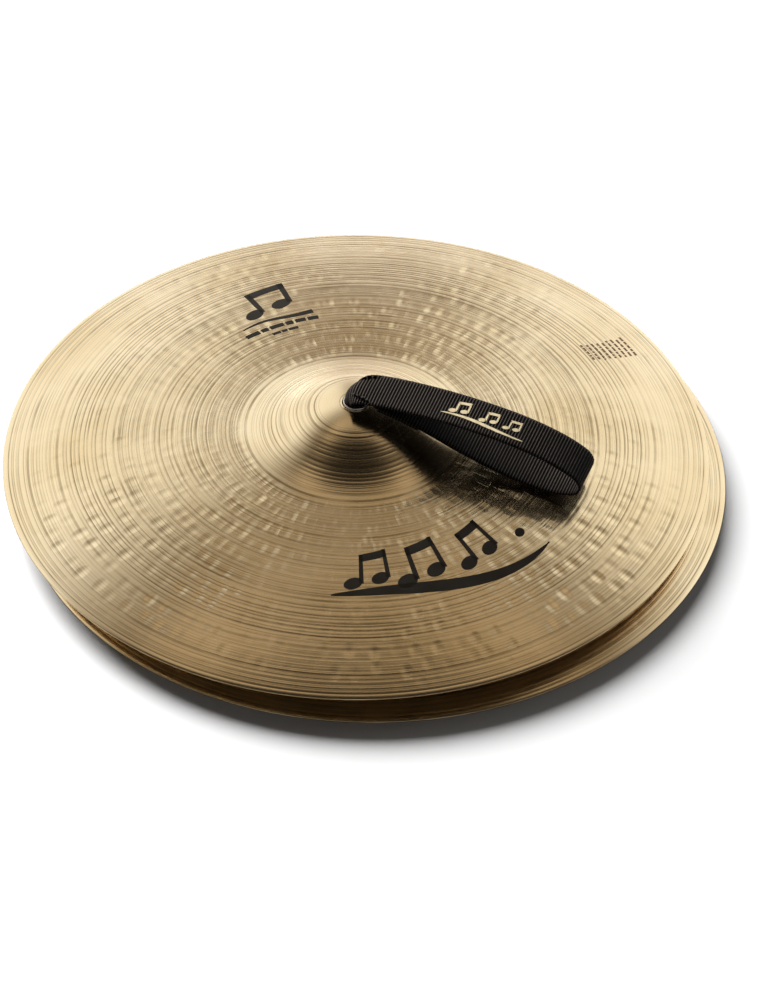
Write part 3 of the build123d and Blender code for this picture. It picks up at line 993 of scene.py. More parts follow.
def webbing_tree() -> bpy.types.NodeTree:
    """The tree that raises the cross ribs of webbing.

    Returns:
        The tree. Its points carry along, the distance along the strap, and flat, 1 away from the edges.
    """
    graph, given, made = geometry_tree(
        "webbing_ribs",
        {
            "Rib Pitch": ("NodeSocketFloat", 1.8 * MM),
            "Rib Height": ("NodeSocketFloat", 0.36 * MM),
            "Finish": ("NodeSocketMaterial", None),
        },
    )
    along = graph.math("DIVIDE", read_attribute(graph, "along"), given.outputs["Rib Pitch"])
    wave = graph.math("ABSOLUTE", graph.math("SINE", graph.product(along, math.pi)))
    low = graph.math("SUBTRACT", graph.math("POWER", wave, 0.7), 1.0)
    height = graph.product(low, given.outputs["Rib Height"], read_attribute(graph, "flat"))
    push_and_dress(graph, given, made, height)
    return graph.tree


def stitch_tree() -> bpy.types.NodeTree:
    """The tree that lays one rounded thread at each marked point of a seam.

    Returns:
        The tree. Its points carry heading and facing, the thread's direction and the cloth's normal.
    """
    graph, given, made = geometry_tree(
        "seam_stitches",
        {
            "Stitch Length": ("NodeSocketFloat", 2.4 * MM),
            "Thread Radius": ("NodeSocketFloat", 0.3 * MM),
            "Finish": ("NodeSocketMaterial", None),
        },
    )
    thread = graph.node("GeometryNodeMeshUVSphere", {"Segments": 8, "Rings": 5, "Radius": 1.0})
    size = graph.node("ShaderNodeCombineXYZ", {
        0: graph.product(given.outputs["Stitch Length"], 0.5),
        1: given.outputs["Thread Radius"],
        2: given.outputs["Thread Radius"],
    })
    shaped = graph.node("GeometryNodeTransform", {"Geometry": thread.outputs[0], "Scale": size.outputs[0]})

    def direction(name: str) -> bpy.types.NodeSocket:
        """A named vector from the seam's points."""
        read = graph.node("GeometryNodeInputNamedAttribute", {"Name": name}, data_type="FLOAT_VECTOR")
        return read.outputs["Attribute"]

    up = graph.node("FunctionNodeAlignRotationToVector", {"Vector": direction("facing")}, axis="Z")
    turned = graph.node("FunctionNodeAlignRotationToVector",
                        {"Rotation": up.outputs[0], "Vector": direction("heading")}, axis="X", pivot_axis="Z")
    laid = graph.node("GeometryNodeInstanceOnPoints", {
        "Points": given.outputs["Geometry"],
        "Instance": shaped.outputs[0],
        "Rotation": turned.outputs[0],
    })
    whole = graph.node("GeometryNodeRealizeInstances", {0: laid.outputs[0]})
    smooth = graph.node("GeometryNodeSetShadeSmooth", {0: whole.outputs[0]})
    dressed = graph.node("GeometryNodeSetMaterial",
                         {0: smooth.outputs[0], "Material": given.outputs["Finish"]})
    graph.feed(made.inputs[0], dressed.outputs[0])
    return graph.tree


@dataclass
class Strap:
    """One webbing strap: a closed ribbon from the toggle pin through the sleeve and round the hand loop."""

    side: Side
    cymbal: Cymbal
    angle: float
    stations: list[StrapStation]
    seam: tuple[float, float]
    bend_start: Point
    bend_end: Point
    width: float = 27.0
    thickness: float = 1.45
    rib_pitch: float = 1.8
    steps_per_rib: int = 4
    strands: int = 14
    steps_per_station: int = 60
    edge_start: float = 0.93
    edge_thinning: float = 0.55
    rib_edge_start: float = 0.9
    rib_edge_share: float = 0.6
    seam_outward: bool = False
    stitch_pitch: float = 3.2
    stitch_inset: float = 2.6
    stitch_half_width: float = 9.5
    stitch_height: float = 1.47
    print_run: Point = (15.0, 132.0)
    _top_run: np.ndarray | None = None

    def place(self, x: float, y: float, z: float) -> Vector:
        """A point of the strap's own frame, in the model's frame.

        Args:
            x: Reach along the strap's direction, in millimetres.
            y: Across the webbing.
            z: Height above the rim's underside.

        Returns:
            The point, in metres.
        """
        turned = Matrix.Rotation(self.angle, 3, "Z") @ Vector((x, y, z))
        return self.cymbal.origin + turned * MM

    def _smooth_stations(self) -> np.ndarray:
        """The closed line through the stations, with its curl and width, at an even fine spacing.

        Returns:
            Rows of x, z, curl and width.
        """
        keys = np.array([(s.x, s.z, s.curl, s.width) for s in self.stations])
        count = len(keys)
        line = []
        for index in range(count):
            before, start, end, after = (keys[(index + shift) % count] for shift in (-1, 0, 1, 2))
            gaps = [max(1e-6, np.linalg.norm((b - a)[:2]) ** 0.5) for a, b in
                    ((before, start), (start, end), (end, after))]
            knots = np.cumsum([0.0] + gaps)
            for step in range(self.steps_per_station):
                t = knots[1] + (knots[2] - knots[1]) * step / self.steps_per_station
                a1 = before * (knots[1] - t) / gaps[0] + start * (t - knots[0]) / gaps[0]
                a2 = start * (knots[2] - t) / gaps[1] + end * (t - knots[1]) / gaps[1]
                a3 = end * (knots[3] - t) / gaps[2] + after * (t - knots[2]) / gaps[2]
                b1 = (a1 * (knots[2] - t) + a2 * (t - knots[0])) / (knots[2] - knots[0])
                b2 = (a2 * (knots[3] - t) + a3 * (t - knots[1])) / (knots[3] - knots[1])
                line.append((b1 * (knots[2] - t) + b2 * (t - knots[1])) / gaps[1])
        line = np.array(line + [line[0]])
        lengths = np.concatenate([[0.0], np.cumsum(np.linalg.norm(np.diff(line[:, :2], axis=0), axis=1))])
        ribs = round(lengths[-1] / self.rib_pitch)
        even = np.linspace(0.0, lengths[-1], ribs * self.steps_per_rib + 1)[:-1]
        return np.stack([np.interp(even, lengths, line[:, column]) for column in range(4)], axis=1)

    def _section(self, curl: float, width: float) -> list[tuple[float, float, float, float]]:
        """One cross section of the webbing.

        Args:
            curl: How sharply it is curled across its width, per millimetre.
            width: Share of its full width that it keeps.

        Returns:
            For each point: across, inward, flatness and share of the width.
        """
        points = []
        half = self.width * width / 2
        for face in (1.0, -1.0):
            for strand in range(self.strands + 1):
                share = face * (1 - 2 * strand / self.strands)
                edge = abs(share)
                half_thickness = self.thickness / 2 * (1.0 if edge < self.edge_start else self.edge_thinning)
                across = share * half
                angle = curl * across
                if abs(curl) > 1e-4:
                    middle = (math.sin(angle) / curl, (1 - math.cos(angle)) / curl)
                else:
                    middle = (across, 0.0)
                out = -face * half_thickness
                spot = (middle[0] - math.sin(angle) * out, middle[1] + math.cos(angle) * out)
                flat = 1.0 if edge < self.rib_edge_start else self.rib_edge_share
                points.append((spot[0], spot[1], flat, share))
        return points

    @staticmethod
    def _tangents(line: np.ndarray) -> np.ndarray:
        """The line's direction at each of its points, as rows of run and rise."""
        ahead = np.roll(line, -1, axis=0)[:, :2] - np.roll(line, 1, axis=0)[:, :2]
        return ahead / np.linalg.norm(ahead, axis=1)[:, None]

    def _run(self, low: float, high: float, outward: bool) -> np.ndarray:
        """Part of the strap's line.

        Args:
            low: Where it starts, as a reach from the axis.
            high: Where it ends.
            outward: Whether it is the run that leads away from the axis.

        Returns:
            Rows of x, z, and the x and z of the direction away from the loop's inside.
        """
        line = self._smooth_stations()
        least_run = 0.4
        rows = []
        for (x, z, _, _), (run, rise) in zip(line, self._tangents(line)):
            if low <= x <= high and (run > least_run if outward else run < -least_run):
                rows.append((x, z, -rise, run))
        return np.array(rows)

    def _lap(self) -> list[list[tuple[Vector, float, float, Point]]]:
        """The overlapped end of the webbing, sewn to the outer face of one run.

        Returns:
            Rings of vertices, each with its place, its distance along, its flatness and its map.
        """
        run = self._run(*self.seam, self.seam_outward)
        rings = []
        for index, (x, z, out_x, out_z) in enumerate(run):
            end = min(index, len(run) - 1 - index)
            thin = 0.72 if end == 0 else 1.0
            ring = []
            for across, depth, flat, share in self._section(0.0, 0.985 * thin**0.1):
                away = self.thickness * 0.97 - depth * thin
                spot = self.place(x + out_x * away, across, z + out_z * away)
                along = index / self.steps_per_rib * self.rib_pitch * MM
                ring.append((spot, along, flat if end > 1 else 0.0, (along, share * self.width / 2 * MM)))
            rings.append(ring)
        return rings

    def stitches(self, tree: bpy.types.NodeTree, finish: bpy.types.Material) -> bpy.types.Object:
        """Make the box of stitches that holds the overlapped end.

        Args:
            tree: The geometry tree that lays the threads.
            finish: The thread.

        Returns:
            The stitching, riding on the loop.
        """
        run = self._run(*self.seam, self.seam_outward)
        run = run[np.argsort(run[:, 0])]
        low, high = self.seam[0] + self.stitch_inset, self.seam[1] - self.stitch_inset
        half = self.stitch_half_width
        corners = [(low, -half), (high, -half), (high, half), (low, half), (low, -half), (high, half)]
        lines = list(zip(corners, corners[1:])) + [((high, -half), (low, half))]
        points, headings, facings = [], [], []
        for (x0, y0), (x1, y1) in lines:
            length = math.hypot(x1 - x0, y1 - y0)
            steps = max(2, round(length / self.stitch_pitch))
            for step in range(steps):
                share = (step + 0.5) / steps
                x, y = x0 + (x1 - x0) * share, y0 + (y1 - y0) * share
                z, out_x, out_z = (float(np.interp(x, run[:, 0], run[:, column])) for column in (1, 2, 3))
                size = math.hypot(out_x, out_z)
                facing = Vector((out_x / size, 0.0, out_z / size))
                away = self.thickness * self.stitch_height
                points.append(self.place(x + facing.x * away, y, z + facing.z * away))
                flow = Vector((facing.z, 0.0, -facing.x))
                flow = flow if flow.x > 0 else -flow
                heading = flow * (x1 - x0) + Vector((0.0, y1 - y0, 0.0))
                turn = Matrix.Rotation(self.angle, 3, "Z")
                headings.append(turn @ heading.normalized())
                facings.append(turn @ facing)
        sewn = mesh_object(self.side.node("stitched_box"), np.array([tuple(point) for point in points]), [])
        for name, values in (("heading", headings), ("facing", facings)):
            attribute = sewn.data.attributes.new(name, "FLOAT_VECTOR", "POINT")
            attribute.data.foreach_set("vector", np.array([tuple(v) for v in values], np.float32).ravel())
        sewn.data.materials.append(finish)
        grow(sewn, tree, {"Finish": finish})
        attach(sewn, self.side.node("loop"))
        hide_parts(self.side.node("strap_stitching"))
        return sewn

    def outer_face(self, x: float, y: float, lift: float) -> Vector:
        """A point over the outer face of the run that leads away from the axis.

        Args:
            x: Reach from the axis, in millimetres.
            y: Across the webbing.
            lift: Height over the face.

        Returns:
            The point, in metres.
        """
        if self._top_run is None:
            self._top_run = self._run(*self.print_run, True)
        run = self._top_run
        z, out_x, out_z = (float(np.interp(x, run[:, 0], run[:, column])) for column in (1, 2, 3))
        away = self.thickness / 2 + lift
        return self.place(x + out_x * away, y, z + out_z * away)

    def build(self, tree: bpy.types.NodeTree, finish: bpy.types.Material) -> bpy.types.Object:
        """Make the strap.

        Args:
            tree: The geometry tree that raises the ribs.
            finish: The webbing.

        Returns:
            The strap.
        """
        line = self._smooth_stations()
        count = len(line)
        tangents = self._tangents(line)
        length = np.linalg.norm(np.roll(line, -1, axis=0)[:, :2] - line[:, :2], axis=1).sum()
        vertices, along_values, flat_values, map_rows = [], [], [], []
        for index in range(count):
            x, z, curl, width = line[index]
            inward = (tangents[index][1], -tangents[index][0])
            for across, depth, flat, share in self._section(curl, width):
                vertices.append(self.place(x + inward[0] * depth, across, z + inward[1] * depth))
                rib_place = index / self.steps_per_rib * self.rib_pitch
                along_values.append(rib_place * MM)
                flat_values.append(flat)
                map_rows.append((rib_place * MM, share * self.width / 2 * MM))
        ring = 2 * (self.strands + 1)
        faces = []
        for index in range(count):
            following = (index + 1) % count
            for step in range(ring):
                beside = (step + 1) % ring
                faces.append((index * ring + step, index * ring + beside,
                              following * ring + beside, following * ring + step))
        lap = self._lap()
        first = len(vertices)
        for lap_ring in lap:
            for spot, distance, flat, mapped in lap_ring:
                vertices.append(spot)
                along_values.append(distance)
                flat_values.append(flat)
                map_rows.append(mapped)
        for index in range(len(lap) - 1):
            for step in range(ring):
                beside = (step + 1) % ring
                start = first + index * ring
                faces.append((start + step, start + beside, start + ring + beside, start + ring + step))
        for start in (first, first + (len(lap) - 1) * ring):
            for step in range(self.strands):
                other = ring - 2 - step
                faces.append((start + step, start + step + 1, start + other, start + other + 1))
        strap = mesh_object(self.side.node("webbing_strap"), np.array(vertices), faces)
        recalculate_normals(strap)
        float_attribute(strap, "along", np.array(along_values))
        float_attribute(strap, "flat", np.array(flat_values))
        self._write_map(strap, map_rows, length)
        strap.data.materials.append(finish)
        grow(strap, tree, {"Finish": finish})
        start = self.place(self.bend_start[0], 0.0, self.bend_start[1])
        self.side.node("swivel")
        self.side.node("loop")
        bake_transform(strap)
        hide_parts(self.side.node("strap_neck"), self.side.node("strap_loop"))
        return strap

    @staticmethod
    def _write_map(strap: bpy.types.Object, rows: list[Point], total: float) -> None:
        """Give the strap its lengthwise map, carried on across the join.

        Args:
            strap: The strap's mesh object.
            rows: Along and across for each vertex, in metres.
            total: The strap's length in millimetres.
        """
        layer = strap.data.uv_layers.new(name="strap")
        full = total * MM
        for polygon in strap.data.polygons:
            alongs = [rows[strap.data.loops[i].vertex_index][0] for i in polygon.loop_indices]
            wraps = max(alongs) - min(alongs) > full / 2
            for loop_index, value in zip(polygon.loop_indices, alongs):
                vertex = strap.data.loops[loop_index].vertex_index
                shifted = value + full if wraps and value < full / 2 else value
                layer.data[loop_index].uv = (shifted, rows[vertex][1])


def upper_stations() -> list[StrapStation]:
    """The upper strap, from under its pin, up round the shoulder, out to the tip and back."""
    return [
        StrapStation(0.0, 39.5, 0.0, 0.5),
        StrapStation(-2.9, 42.4, 0.02, 0.5),
        StrapStation(-4.3, 45.2, 0.14, 0.8),
        StrapStation(-5.3, 48.0, 0.185, 0.97),
        StrapStation(-5.5, 51.0, 0.17, 1.0),
        StrapStation(-5.2, 54.5, 0.135, 1.0),
        StrapStation(-3.4, 58.0, 0.085, 1.0),
        StrapStation(0.4, 60.7, 0.042, 1.0),
        StrapStation(6.0, 61.6, 0.018, 1.0),
        StrapStation(17.0, 61.8, 0.004, 1.0),
        StrapStation(34.0, 61.6),
        StrapStation(52.0, 60.8),
        StrapStation(75.0, 58.3),
        StrapStation(98.0, 54.2),
        StrapStation(117.0, 48.6),
        StrapStation(130.0, 42.8),
        StrapStation(137.4, 37.4),
        StrapStation(139.4, 32.2),
        StrapStation(137.2, 27.9),
        StrapStation(131.0, 25.7),
        StrapStation(119.0, 25.2),
        StrapStation(104.0, 27.8),
        StrapStation(86.0, 33.3),
        StrapStation(71.0, 38.7),
        StrapStation(54.0, 46.1),
        StrapStation(43.0, 51.0),
        StrapStation(34.0, 54.4),
        StrapStation(25.0, 57.2),
        StrapStation(16.0, 59.0, 0.01, 0.98),
        StrapStation(9.5, 58.9, 0.06, 0.9),
        StrapStation(5.4, 56.0, 0.16, 0.8),
        StrapStation(3.9, 51.5, 0.26, 0.7),
        StrapStation(3.5, 47.5, 0.28, 0.65),
        StrapStation(3.2, 44.8, 0.15, 0.55),
        StrapStation(2.9, 42.4, 0.02, 0.5),
    ]


@dataclass(frozen=True)
class LowerLay:
    """How the lower strap lies flat between the plates. Lengths are in millimetres."""

    lip_floor: float = 50.73
    lip_reach: float = 8.8
    lay_gap: float = 0.55
    eye_start: float = 20.0
    eye_height: float = 4.4
    last_reach: float = 124.0
    gather_height: float = 1.7
    gather_end: float = 34.0
    thickness: float = 1.6

    def floor(self, cymbal: Cymbal, reach: float) -> float:
        """Underside of the stack of webbing.

        Args:
            cymbal: The plate it lies on.
            reach: Distance from the plate's axis.

        Returns:
            The height.
        """
        if reach <= self.lip_reach:
            return self.lip_floor
        return cymbal.top(reach) + self.lay_gap

    def roof(self, cymbal: Cymbal, reach: float) -> float:
        """Top of the stack of webbing.

        Args:
            cymbal: The plate it lies on.
            reach: Distance from the plate's axis.

        Returns:
            The height.
        """
        eye = self.eye_height * max(0.0, reach - self.eye_start) / (self.last_reach - self.eye_start)
        gather = self.gather_height * max(0.0, 1.0 - reach / self.gather_end)
        return self.floor(cymbal, reach) + 2 * self.thickness + eye + gather


def lower_stations(cymbal: Cymbal, lay: LowerLay) -> list[StrapStation]:
    """The lower strap, from under its pin, over the sleeve's lip, out flat to its tip and back.

    Args:
        cymbal: The lower plate.
        lay: How the strap lies on it.

    Returns:
        The stations in order.
    """
    half = lay.thickness / 2
    made = [
        StrapStation(0.0, 39.5, 0.0, 0.5),
        StrapStation(-2.9, 42.4, 0.02, 0.5),
        StrapStation(-4.3, 45.2, 0.14, 0.8),
        StrapStation(-5.2, 48.0, 0.185, 0.92),
        StrapStation(-5.2, 50.6, 0.14, 0.8),
        StrapStation(-4.0, 53.2, 0.06, 0.8),
        StrapStation(-0.5, 54.7, 0.01, 0.9),
    ]
    reaches = (7.0, 17.0, 28.0, 40.0, 52.0, 62.0, 76.0, 92.0, 110.0, 123.0)
    for reach in reaches:
        made.append(StrapStation(reach, lay.roof(cymbal, reach) - half))
    tip = 130.2
    middle = (lay.floor(cymbal, 124.0) + lay.roof(cymbal, 124.0)) / 2 - 1.6
    made.append(StrapStation(128.6, middle + 2.4))
    made.append(StrapStation(tip, middle))
    made.append(StrapStation(127.6, middle - 2.0))
    for reach in reversed(reaches[1:]):
        made.append(StrapStation(reach, lay.floor(cymbal, reach) + half))
    made += [
        StrapStation(9.0, lay.lip_floor + half + 0.1, 0.02, 0.9),
        StrapStation(5.0, lay.lip_floor + half - 0.2, 0.12, 0.75),
        StrapStation(3.6, 49.2, 0.26, 0.68),
        StrapStation(3.4, 46.8, 0.26, 0.62),
        StrapStation(3.2, 44.8, 0.15, 0.55),
        StrapStation(2.9, 42.4, 0.02, 0.5),
    ]
    return made


class InkShape:
    """A flat outline, drawn in millimetres, that is later laid on a curved surface."""

    def __init__(self) -> None:
        """Start with nothing drawn."""
        self.loops: list[list[Point]] = []

    def polygon(self, points: list[Point]) -> None:
        """Add one filled outline."""
        self.loops.append(points)

    def bar(self, x0: float, y0: float, x1: float, y1: float) -> None:
        """Add a filled upright rectangle, from one corner to the opposite one."""
        self.polygon([(x0, y0), (x1, y0), (x1, y1), (x0, y1)])

    def oval(self, x: float, y: float, long: float, short: float, lean: float) -> None:
        """Add a filled oval.

        Args:
            x: Its centre.
            y: Its centre.
            long: Its longer half size.
            short: Its shorter half size.
            lean: How far it leans, in degrees.
        """
        tilt = math.radians(lean)
        points = []
        sides = 26
        for index in range(sides):
            angle = math.tau * index / sides
            px, py = long * math.cos(angle), short * math.sin(angle)
            points.append((x + px * math.cos(tilt) - py * math.sin(tilt),
                           y + px * math.sin(tilt) + py * math.cos(tilt)))
        self.polygon(points)

    def brush(self, path: Callable[[float], Point], width: Callable[[float], float],
              pieces: int) -> None:
        """Add a stroke of changing width.

        Args:
            path: The stroke's middle line for a share from 0 to 1.
            width: Its full width for the same share.
            pieces: How many straight pieces it is made of.
        """
        left, right = [], []
        for index in range(pieces + 1):
            share = index / pieces
            x, y = path(share)
            ahead = path(min(1.0, share + 0.01))
            behind = path(max(0.0, share - 0.01))
            run, rise = ahead[0] - behind[0], ahead[1] - behind[1]
            length = math.hypot(run, rise)
            half = width(share) / 2
            left.append((x - rise / length * half, y + run / length * half))
            right.append((x + rise / length * half, y - run / length * half))
        for index in range(pieces):
            self.polygon([left[index], right[index], right[index + 1], left[index + 1]])

    def note_pair(self, x: float, y: float, size: float) -> None:
        """Add two joined quavers.

        Args:
            x: Where the first note's head is.
            y: Where the first note's head is.
            size: The height of a stem.
        """
        head, gap, rise = size * 0.27, size * 0.78, size * 0.16
        stem, stem_reach = size * 0.065, head * 0.86
        for step in (0, 1):
            hx, hy = x + gap * step, y + rise * step
            self.oval(hx, hy, head, head * 0.7, 24)
            edge = hx + stem_reach
            self.bar(edge - stem, hy, edge + stem, hy + size)
        left, right = x + stem_reach - stem, x + gap + stem_reach + stem
        top, deep = y + size, size * 0.26
        self.polygon([(left, top - deep), (right, top + rise - deep), (right, top + rise), (left, top)])


@dataclass
class Emblem:
    """A thin printed mark that follows a surface."""

    name: str
    shape: InkShape
    body: str
    slot: str
    surface: SurfacePlace
    film: float = 0.05
    lift: float = 0.03
    longest_edge: float = 2.2
    most_cuts: int = 5

    def build(self, finish: bpy.types.Material) -> bpy.types.Object:
        """Make the mark.

        Args:
            finish: The ink.

        Returns:
            The mark, riding on its body.
        """
        work = bmesh.new()
        for loop in self.shape.loops:
            work.faces.new([work.verts.new((x, y, 0.0)) for x, y in loop])
        bmesh.ops.recalc_face_normals(work, faces=work.faces)
        for face in work.faces:
            if face.normal.z < 0:
                face.normal_flip()
        bmesh.ops.triangulate(work, faces=[face for face in work.faces if len(face.verts) > 4])
        for _ in range(self.most_cuts):
            long_edges = [edge for edge in work.edges if edge.calc_length() > self.longest_edge]
            if not long_edges:
                break
            bmesh.ops.subdivide_edges(work, edges=long_edges, cuts=1, use_grid_fill=True)
        bmesh.ops.triangulate(work, faces=work.faces[:])
        flat = bpy.data.meshes.new(self.name)
        work.to_mesh(flat)
        work.free()
        base = np.array([vertex.co[:] for vertex in flat.vertices])
        count = len(base)
        top = [self.surface(x, y, self.lift + self.film) for x, y, _ in base]
        under = [self.surface(x, y, self.lift) for x, y, _ in base]
        faces = [tuple(polygon.vertices) for polygon in flat.polygons]
        used = {edge: True for face in faces for edge in zip(face, face[1:] + face[:1])}
        walls = [(b, a, a + count, b + count) for a, b in used if (b, a) not in used]
        flipped = [tuple(index + count for index in reversed(face)) for face in faces]
        points = np.array([tuple(point) for point in top + under])
        mark = mesh_object(self.name, points, faces + flipped + walls, False)
        bpy.data.meshes.remove(flat)
        mark.data.materials.append(finish)
        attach(mark, self.body)
        return mark


@dataclass(frozen=True)
class Lamp:
    """One soft box that is aimed at the object but isn't seen in reflections."""

    name: str
    spot: Point3
    size: float
    power: float

    def hang(self) -> None:
        """Add the lamp to the scene."""
        data = bpy.data.lights.new(self.name, "AREA")
        data.shape = "DISK"
        data.size = self.size
        data.energy = self.power
        lamp = bpy.data.objects.new(self.name, data)
        lamp.location = self.spot
        lamp.rotation_euler = (-Vector(self.spot)).to_track_quat("-Z", "Y").to_euler()
        lamp.visible_glossy = False
        bpy.context.scene.collection.objects.link(lamp)


LAMPS = (
    Lamp("key_lamp", (-3.08, 4.73, 3.43), 4.2, 5700.0),
    Lamp("fill_lamp", (0.2, -1.7, 2.5), 0.9, 7.0),
)


@dataclass(frozen=True)
class Studio:
    """Floor, surroundings, lamps and camera.

    Every pair named after the sky, a box or the horizon is where a soft edge starts and ends along one
    axis of the looking direction.
    """

    elevation: float = math.radians(41.19)
    distance: float = 20.0
    frame_height: float = 0.5752
    right: float = 0.01697
    down: float = 0.01998
    sky: tuple[tuple[float, Colour], ...] = (
        (0.0, rgba(0.9, 0.87, 0.86)),
        (0.2, rgba(0.70, 0.67, 0.66)),
        (0.42, rgba(0.36, 0.315, 0.28)),
        (0.68, rgba(0.31, 0.26, 0.205)),
        (0.83, rgba(0.23, 0.19, 0.14)),
        (0.865, rgba(0.26, 0.213, 0.155)),
        (0.888, rgba(0.44, 0.36, 0.265)),
        (0.915, rgba(0.58, 0.475, 0.345)),
        (0.94, rgba(0.50, 0.41, 0.30)),
        (0.968, rgba(0.19, 0.155, 0.113)),
        (1.0, rgba(0.05, 0.04, 0.03)),
    )
    sky_ahead: Point = (-0.05, 0.3)
    sky_behind: Point = (0.5, 0.8)
    behind_share: float = 0.5
    box_edge: Point = (0.035, 0.165)
    box_top: Point = (0.90, 0.62)
    box_ahead: Point = (-0.05, 0.5)
    box_colour: Colour = rgba(1.06, 1.08, 1.09)
    least_sky: float = 0.06
    horizon: Point = (0.05, 0.4)
    floor_half: float = 4.0
    floor_tone: Point = (0.19, 0.195)

    def floor(self, height: float) -> None:
        """Lay the pale floor.

        Args:
            height: The height of the object's lowest point.
        """
        half = self.floor_half
        corners = [(x, y, height) for x, y in ((-half, -half), (half, -half), (half, half), (-half, half))]
        ground = mesh_object("studio_floor", np.array(corners), [(0, 1, 2, 3)])
        material, graph, bsdf = new_material("studio_white")
        place = graph.node("ShaderNodeTexCoord").outputs["Object"]
        tone = graph.span(graph.noise(place, 3.0, 1.0), 0.3, 0.7, *self.floor_tone)
        grey = graph.node("ShaderNodeCombineColor", {0: tone, 1: tone, 2: tone})
        graph.feed(bsdf.inputs["Base Color"], grey.outputs[0])
        bsdf.inputs["Roughness"].default_value = 0.9
        bsdf.inputs["Specular IOR Level"].default_value = 0.1
        ground.data.materials.append(material)
        ground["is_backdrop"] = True

    def lights(self) -> None:
        """Hang the lamps and paint the soft surroundings that the bronze mirrors."""
        for lamp in LAMPS:
            lamp.hang()
        world = bpy.data.worlds.new("studio_surroundings")
        world.use_nodes = True
        graph = Graph(world.node_tree)
        background = world.node_tree.nodes["Background"]
        direction = graph.node("ShaderNodeTexCoord").outputs["Generated"]
        split = graph.node("ShaderNodeSeparateXYZ", {0: direction})
        sideways = graph.math("ABSOLUTE", split.outputs[0])
        depth, height = split.outputs[1], split.outputs[2]
        ramp = graph.node("ShaderNodeValToRGB", {0: height})
        self.paint(ramp.color_ramp, self.sky)
        boxes = graph.product(graph.span(sideways, *self.box_edge), graph.span(height, *self.box_top),
                              graph.span(depth, *self.box_ahead))
        ahead = graph.span(depth, *self.sky_ahead, self.least_sky, 1.0)
        behind = graph.span(height, *self.sky_behind, self.behind_share, 0.0)
        open_sky = graph.math("MAXIMUM", ahead, behind)
        above = graph.span(height, *self.horizon)
        shade = graph.math("ADD", graph.product(open_sky, above), graph.math("SUBTRACT", 1.0, above))
        grey = graph.node("ShaderNodeCombineXYZ", {0: shade, 1: shade, 2: shade})
        sky = graph.vector("MULTIPLY", ramp.outputs[0], grey.outputs[0])
        colour = graph.blend_colour(boxes, sky, self.box_colour)
        graph.feed(background.inputs["Color"], colour)
        background.inputs["Strength"].default_value = 1.0
        bpy.context.scene.world = world

    @staticmethod
    def paint(ramp: bpy.types.ColorRamp, stops: tuple[tuple[float, Colour], ...]) -> None:
        """Set a colour ramp's stops.

        Args:
            ramp: The ramp.
            stops: Position and colour of each stop, in order.
        """
        while len(ramp.elements) < len(stops):
            ramp.elements.new(1.0)
        for element, (position, colour) in zip(ramp.elements, stops):
            element.position = position
            element.color = colour

    def camera(self, focus: Vector) -> None:
        """Set up the camera.

        Args:
            focus: The middle of the upper rim's plane.
        """
        up = Vector((0.0, math.sin(self.elevation), math.cos(self.elevation)))
        back = Vector((0.0, -math.cos(self.elevation), math.sin(self.elevation)))
        target = focus + Vector((self.right, 0.0, 0.0)) - up * self.down
        data = bpy.data.cameras.new("studio_camera")
        data.sensor_width = 36.0
        data.lens = data.sensor_width * self.distance / self.frame_height
        data.clip_start, data.clip_end = 1.0, 60.0
        camera = bpy.data.objects.new("studio_camera", data)
        camera.location = target + back * self.distance
        camera.rotation_euler = (-back).to_track_quat("-Z", "Y").to_euler()
        bpy.context.scene.collection.objects.link(camera)
        bpy.context.scene.camera = camera


def front_mark() -> InkShape:
    """A large mark for the near side of the upper plate: note pairs over a brush stroke, and a dot."""
    shape = InkShape()
    shape.note_pair(-53.0, 14.0, 21.0)
    shape.note_pair(-21.0, 13.0, 24.0)
    shape.note_pair(18.0, 14.0, 22.0)
    shape.brush(lambda t: (-65.0 + 130.0 * t, 3.2 + 5.0 * math.sin(math.pi * t * 1.6 + 0.4)),
                lambda t: 0.9 + 7.0 * math.sin(math.pi * min(1.0, t * 1.02)) ** 0.7, 60)
    shape.oval(58.0, 15.5, 3.6, 2.8, 20)
    return shape


def far_mark() -> InkShape:
    """A small mark for the far side of the upper plate: one note pair, a brush stroke and dashes."""
    shape = InkShape()
    shape.note_pair(-9.0, 17.0, 22.0)
    shape.brush(lambda t: (-23.0 + 46.0 * t, 6.8 + 1.2 * math.sin(math.tau * t)), lambda t: 0.9 + 3.0 * t, 30)
    for start, end in ((-26, -16), (-14.5, -9.5), (-8, 1.5), (3, 8), (9.5, 16.5), (18, 25)):
        shape.bar(start, -2.0, end, 1.4)
    for start, end in ((-10, -4), (-3, 1), (2, 9)):
        shape.bar(start, -7.8, end, -5.6)
    return shape


def side_mark() -> InkShape:
    """A small block of nine rows of plain dashes."""
    shape = InkShape()
    dice = np.random.default_rng(3)
    for row in range(9):
        x = -9.0 + float(dice.uniform(0, 3))
        while x < 9.0:
            length = float(dice.uniform(1.6, 4.2))
            y = -14.0 + row * 3.4
            shape.bar(x, y, min(x + length, 10.0), y + 1.3)
            x += length + 0.9
    return shape


def strap_mark() -> InkShape:
    """A pale mark along the upper strap: three note pairs over a brush stroke."""
    shape = InkShape()
    shape.note_pair(-19.0, -2.0, 8.5)
    shape.note_pair(-1.0, -2.4, 8.0)
    shape.note_pair(13.0, -2.0, 7.4)
    shape.brush(lambda t: (-25.0 + 50.0 * t, -6.2 + 1.4 * math.sin(math.pi * t * 1.5 + 0.5)),
                lambda t: 0.4 + 1.9 * math.sin(math.pi * t) ** 0.8, 40)
    return shape


